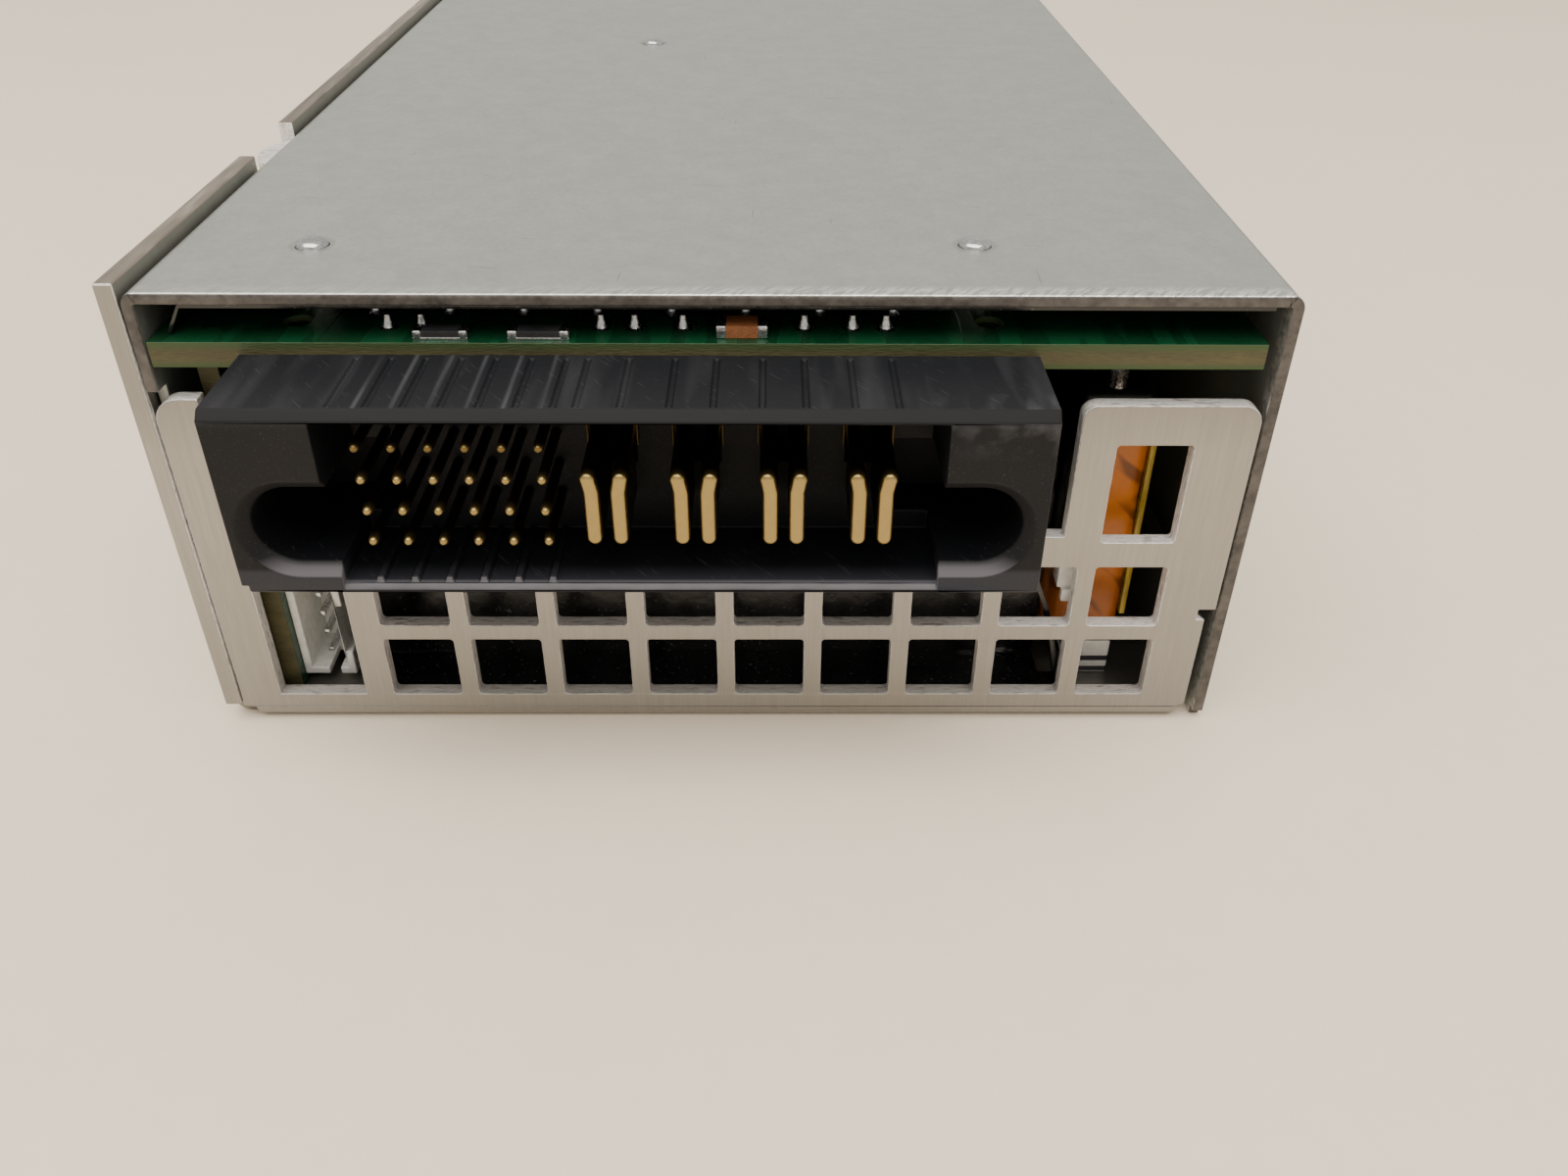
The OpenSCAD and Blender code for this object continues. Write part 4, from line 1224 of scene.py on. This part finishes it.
class RACKBATTERY_OT_cells(bpy.types.Operator):
    """Build the cells, their vented ends, the spacers between them and the nickel strips"""

    bl_idname = "rack_battery.cells"
    bl_label = "Cells"

    def execute(self, context):
        mesh = bmesh.new()
        for lo, hi in solids("battery_cells"):
            r = (hi.x - lo.x) / 2
            length = hi.y - lo.y
            half = [(0, 0.25), (7.2, 0.25), (7.6, 0.02), (8.5, 0.0), (9.0, 0.3), (r / MM, 1.0)]
            outline = in_mm(half)
            outline += [(a, length - b) for a, b in reversed(outline)]
            lathe(mesh, outline, front_of(lo, hi), "y", 48)
        piece("sleeved_cells", mesh, (shrink_sleeve, bare_nickel), replaces=("battery_cells",),
              pick=lambda middle, normal: 1 if abs(normal.y) > 0.97 else 0)

        mesh = bmesh.new()
        for lo, hi in solids("cell_vents"):
            r, h = (hi.x - lo.x) / 2, hi.y - lo.y
            outline = [(0, 0), (0.8 * r, 0), (r, 0.3 * h), (r, 0.7 * h), (0.8 * r, h), (0, h)]
            lathe(mesh, outline, front_of(lo, hi), "y", 32)
        piece("cell_buttons", mesh, (bare_nickel,), replaces=("cell_vents",))

        refined("cell_spacers", "cell_holders", (grey_moulding,), 0.25 * MM, segments=2)
        mesh = copied("nickel_strips")
        round_edges(mesh, 0.05 * MM, 1)
        for lo, hi in solids("nickel_strips"):
            for share in (0.3, 0.7):
                for z in (0.35, 0.65):
                    spot = (lo.x + 2.5 * MM + share * 3 * MM, lo.y - 0.02 * MM, lo.z + z * (hi.z - lo.z))
                    lathe(mesh, in_mm([(0, 0), (0.35, 0.0), (0.45, 0.05), (0, 0.05)]), spot, "y", 12)
        piece("weld_strips", mesh, (bare_nickel,), replaces=("nickel_strips",))
        return {"FINISHED"}


class RACKBATTERY_OT_foam(bpy.types.Operator):
    """Build the soft foam block behind the cells"""

    bl_idname = "rack_battery.foam"
    bl_label = "Foam block"

    def execute(self, context):
        lo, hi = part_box("foam_pad")
        mesh = bmesh.new()
        block(mesh, lo, hi, 1.2 * MM, 3)
        slice_mesh(mesh, lo, hi, 3 * MM)
        middle = (lo + hi) / 2
        for vert in mesh.verts:
            reach = max(abs((vert.co[a] - middle[a]) / (hi[a] - lo[a]) * 2) for a in (0, 2))
            if abs(vert.co.y - middle.y) > 0.3 * (hi.y - lo.y):
                vert.co.y += math.copysign(0.35 * MM * (reach**2 - 0.9), middle.y - vert.co.y)
        ripple(mesh, 5 * MM, 0.08 * MM)
        foam = piece("foam_block", mesh, (closed_foam,), replaces=("foam_pad",), sharp=60)
        return {"FINISHED"}


class RACKBATTERY_OT_pack_wiring(bpy.types.Operator):
    """Build the pack's plug, socket, leads and temperature sensor"""

    bl_idname = "rack_battery.pack_wiring"
    bl_label = "Pack wiring"

    def execute(self, context):
        refined("pack_socket_shell", "pack_socket", (natural_nylon,), 0.2 * MM)
        refined("pack_plug_shell", "pack_plug", (natural_nylon,), 0.25 * MM)
        refined("red_pack_lead", "lead_red", (red_silicone,), 0, sharp=60)
        refined("black_pack_lead", "lead_black", (black_silicone,), 0, sharp=60)
        mesh = bmesh.new()
        for lo, hi in solids("sensor_bead"):
            r, h = (hi.x - lo.x) / 2, hi.y - lo.y
            turns = [i * math.pi / 10 for i in range(11)]
            outline = [(r * math.sin(a), h / 2 * (1 - math.cos(a))) for a in turns]
            lathe(mesh, outline, front_of(lo, hi), "y", 24)
        piece("thermal_bead", mesh, (black_silicone,), replaces=("sensor_bead",), sharp=60)
        return {"FINISHED"}


# ---------------------------------------------------------------- choke bay


class RACKBATTERY_OT_choke(bpy.types.Operator):
    """Build the taped choke, its tails, tape, label and plug in the narrow bay"""

    bl_idname = "rack_battery.choke"
    bl_label = "Taped choke"

    def execute(self, context):
        lo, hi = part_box("taped_choke")
        mesh = bmesh.new()
        block(mesh, lo, hi, 1.1 * MM, 4)
        slice_mesh(mesh, lo, hi, 0.9 * MM, (0, 2))
        slice_mesh(mesh, lo, hi, 2.5 * MM, (1,))
        ripple(mesh, 4.5 * MM, 0.14 * MM)
        piece("wound_choke", mesh, (film_tape,), replaces=("taped_choke",), sharp=50)

        mesh = bmesh.new()
        for pin_lo, pin_hi in solids("choke_pins"):
            r, h = (pin_hi.x - pin_lo.x) / 2, pin_hi.z - pin_lo.z
            outline = [(0, 0), (r, 0), (1.0 * r, 0.6 * h), (0.9 * r, 0.8 * h), (0.62 * r, h), (0, h)]
            lathe(mesh, outline, foot_of(pin_lo, pin_hi), steps=20)
        piece("choke_tails", mesh, (tinned_copper,), replaces=("choke_pins",))

        refined("edge_tape", "margin_tape", (yellow_tape,), 0.1 * MM)
        refined("plain_label", "blank_label", (paper_label,), 0.2 * MM, segments=3)
        refined("sensor_plug_shell", "sensor_plug", (natural_nylon,), 0.12 * MM)
        return {"FINISHED"}


# ---------------------------------------------------------------- handle end


def build_light_pipe(mesh, lo, hi):
    """A light pipe: a rod, a collar behind the panel and a domed end in front of it."""
    length = (hi.y - lo.y) / MM
    collar = (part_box("end_panel")[1].y - lo.y) / MM - 1.5
    outline = [(0, 0), (1.2, 0), (1.3, 0.1), (1.3, collar - 1.0), (1.9, collar - 1.0), (2.0, collar - 0.9)]
    outline += [(2.0, collar - 0.1), (1.9, collar), (1.25, collar), (1.25, length - 0.55)]
    for step in range(1, 7):
        lean = step / 6 * math.pi / 2
        outline.append((1.25 * math.cos(lean), length - 0.55 + 0.55 * math.sin(lean)))
    lathe(mesh, in_mm(outline), front_of(lo, hi), "y", 28)


class RACKBATTERY_OT_lamps(bpy.types.Operator):
    """Build the status lamps and their light pipes"""

    bl_idname = "rack_battery.lamps"
    bl_label = "Lamps"

    def execute(self, context):
        refined("lamp_chips", "status_leds", (natural_nylon,), 0.1 * MM)
        mesh = bmesh.new()
        for lo, hi in solids("light_pipes"):
            build_light_pipe(mesh, lo, hi)
        piece("lamp_pipes", mesh, (clear_lens,), replaces=("light_pipes",), sharp=40)
        return {"FINISHED"}


class RACKBATTERY_OT_handle(bpy.types.Operator):
    """Build the bail handle, its sleeve, its brackets and their rivets"""

    bl_idname = "rack_battery.handle"
    bl_label = "Handle"

    def execute(self, context):
        refined("handle_rod", "handle_bail", (powder_coat,), 0, body="handle", sharp=50)

        lo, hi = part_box("handle_grip")
        length = hi.x - lo.x
        outer = (hi.z - lo.z) / 2
        inner = 2 * MM
        ribs = details().grip_ribs
        outline = [(inner, 0), (outer - 0.5 * MM, 0), (outer - 0.12 * MM, 0.25 * MM)]
        first, last = 1.0 * MM, length - 1.0 * MM
        for i in range(ribs):
            for share, depth in ((0.0, 0.55), (0.22, 0.1), (0.5, 0.0), (0.78, 0.1)):
                outline.append((outer - depth * MM, first + (last - first) * (i + share) / ribs))
        outline += [(outer - 0.55 * MM, last), (outer - 0.12 * MM, length - 0.25 * MM)]
        outline += [(outer - 0.5 * MM, length), (inner, length), (inner, 0)]
        mesh = bmesh.new()
        lathe(mesh, outline, (lo.x, (lo.y + hi.y) / 2, (lo.z + hi.z) / 2), "x", 40)
        piece("handle_sleeve", mesh, (soft_rubber,), "handle", ("handle_grip",), sharp=50)

        refined("pivot_brackets", "handle_brackets", (brushed_sheet,), 0.2 * MM)
        mesh = bmesh.new()
        for lo, hi in solids("bracket_rivets"):
            h = (hi.y - lo.y) / MM
            outline = [(0, 0), (0.9, 0.03), (1.45, 0.25), (1.7, 0.6), (1.7, 0.78), (1.0, 0.8), (1.0, h - 0.8)]
            outline += [(1.8, h - 0.78), (1.8, h - 0.6), (1.5, h - 0.22), (0.9, h - 0.03), (0, h)]
            lathe(mesh, in_mm(outline), front_of(lo, hi), "y", 28)
        piece("domed_rivets", mesh, (zinc_plating,), replaces=("bracket_rivets",))
        return {"FINISHED"}


def build_spring(mesh, lo, hi, turns, wire):
    """A coil spring along X with its end turns laid flat."""
    radius = (hi.z - lo.z) / 2 - wire
    middle = Vector((lo.x + wire, (lo.y + hi.y) / 2, (lo.z + hi.z) / 2))
    free = hi.x - lo.x - 2 * wire
    steps = 24
    place = Matrix.Translation(middle + Vector((0, 0, radius))) @ Matrix.Rotation(math.pi / 2, 4, "X")
    section = bmesh.ops.create_circle(mesh, cap_ends=False, segments=10, radius=wire, matrix=place)["verts"]
    geom = section + list({e for v in section for e in v.link_edges})
    dead = 1.0  # turns laid flat at each end
    for share, rise in ((dead, 2 * wire), (turns - 2 * dead, free - 4 * wire), (dead, 2 * wire)):
        count = int(steps * share)
        done = bmesh.ops.spin(mesh, geom=geom, cent=middle, axis=(1, 0, 0), dvec=(rise / count, 0, 0),
                              angle=2 * math.pi * share, steps=count, use_merge=False)
        geom = done["geom_last"]
    bmesh.ops.holes_fill(mesh, edges=mesh.edges, sides=12)


class RACKBATTERY_OT_latch(bpy.types.Operator):
    """Build the latch: bracket, pin, spring, arm and thumb pad"""

    bl_idname = "rack_battery.latch"
    bl_label = "Latch"

    def execute(self, context):
        refined("latch_bracket_shell", "latch_bracket", (dull_plating,), 0.12 * MM)
        refined("latch_lever", "latch_arm", (stainless_strip,), 0.18 * MM, "latch", 3)
        refined("thumb_pad", "latch_pad", (blue_moulding,), 0.3 * MM, "latch", 3, sharp=35)

        mesh = bmesh.new()
        for lo, hi in solids("latch_pin"):
            h = (hi.z - lo.z) / MM
            outline = [(0, 0), (1.5, 0), (1.85, 0.15), (1.9, 0.35), (1.9, 0.6), (1.0, 0.7), (1.0, h - 0.7)]
            outline += [(1.9, h - 0.6), (1.9, h - 0.35), (1.5, h - 0.05), (0, h)]
            lathe(mesh, in_mm(outline), foot_of(lo, hi), steps=28)
        piece("latch_pivot_pin", mesh, (zinc_plating,), replaces=("latch_pin",))

        lo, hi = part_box("latch_spring")
        mesh = bmesh.new()
        build_spring(mesh, lo, hi, details().spring_turns, 0.35 * MM)
        spring = piece("latch_coil", mesh, (zinc_plating,), replaces=("latch_spring",),
                       sharp=70)
        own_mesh(spring)
        return {"FINISHED"}


# ---------------------------------------------------------------- stage


def add_area(name, place, target, size, watts, colour):
    light = bpy.data.lights.new(name, "AREA")
    light.shape = "RECTANGLE"
    light.size, light.size_y = size
    light.energy = watts
    light.color = linear(colour)[:3]
    lamp = bpy.data.objects.new(name, light)
    lamp.location = place
    lamp.rotation_euler = (Vector(target) - Vector(place)).to_track_quat("-Z", "Y").to_euler()
    bpy.context.scene.collection.objects.link(lamp)


class RACKBATTERY_OT_stage(bpy.types.Operator):
    """Set the pale floor, the soft light and the camera"""

    bl_idname = "rack_battery.stage"
    bl_label = "Stage"

    def execute(self, context):
        scene = context.scene
        stage = scene.rack_battery_stage
        mesh = bmesh.new()
        bmesh.ops.create_grid(mesh, x_segments=2, y_segments=2, size=2.0)
        data = bpy.data.meshes.new("table_top")
        mesh.to_mesh(data)
        mesh.free()
        data.materials.append(pale_floor(stage))
        floor = bpy.data.objects.new("table_top", data)
        scene.collection.objects.link(floor)

        world = bpy.data.worlds.new("soft_room")
        world.use_nodes = True
        background = world.node_tree.nodes["Background"]
        background.inputs["Color"].default_value = linear("#f1e9de")
        background.inputs["Strength"].default_value = stage.fill
        scene.world = world

        middle = (0, 0.03, 0.02)
        add_area("ceiling_panel", (-0.10, -0.25, 0.85), middle, (1.2, 0.7), 12.0, "#fff8ee")

        camera = bpy.data.cameras.new("view_camera")
        camera.lens = stage.lens
        camera.sensor_width = 36
        camera.clip_start = 0.005
        holder = bpy.data.objects.new("view_camera", camera)
        holder.location = stage.camera_place
        holder.rotation_euler = stage.camera_turn
        scene.collection.objects.link(holder)
        scene.camera = holder
        return {"FINISHED"}


# ---------------------------------------------------------------- add-on

SETTINGS = {
    "rack_battery_colours": ColourSettings,
    "rack_battery_details": DetailSettings,
    "rack_battery_stage": StageSettings,
}
OPERATORS = (
    RACKBATTERY_OT_stage,
    RACKBATTERY_OT_case,
    RACKBATTERY_OT_fasteners,
    RACKBATTERY_OT_film,
    RACKBATTERY_OT_housing,
    RACKBATTERY_OT_contacts,
    RACKBATTERY_OT_boards,
    RACKBATTERY_OT_chip_parts,
    RACKBATTERY_OT_power_parts,
    RACKBATTERY_OT_sensing_header,
    RACKBATTERY_OT_film_tray,
    RACKBATTERY_OT_cells,
    RACKBATTERY_OT_foam,
    RACKBATTERY_OT_pack_wiring,
    RACKBATTERY_OT_choke,
    RACKBATTERY_OT_lamps,
    RACKBATTERY_OT_handle,
    RACKBATTERY_OT_latch,
)


class RACKBATTERY_PT_panel(bpy.types.Panel):
    """Settings and build steps of the rack battery module"""

    bl_label = "Rack battery"
    bl_idname = "RACKBATTERY_PT_panel"
    bl_space_type = "VIEW_3D"
    bl_region_type = "UI"
    bl_category = "Rack battery"

    def draw(self, context):
        for name, group in SETTINGS.items():
            box = self.layout.box()
            for prop in group.__annotations__:
                box.prop(getattr(context.scene, name), prop)
        for operator in OPERATORS:
            self.layout.operator(operator.bl_idname)


def register():
    for cls in (*SETTINGS.values(), *OPERATORS, RACKBATTERY_PT_panel):
        bpy.utils.register_class(cls)
    for name, group in SETTINGS.items():
        setattr(bpy.types.Scene, name, PointerProperty(type=group))


def unregister():
    for name in SETTINGS:
        delattr(bpy.types.Scene, name)
    for cls in reversed((*SETTINGS.values(), *OPERATORS, RACKBATTERY_PT_panel)):
        bpy.utils.unregister_class(cls)


def main():
    register()
    for operator in OPERATORS:
        group, name = operator.bl_idname.split(".")
        getattr(getattr(bpy.ops, group), name)()


if __name__ == "__main__":
    main()
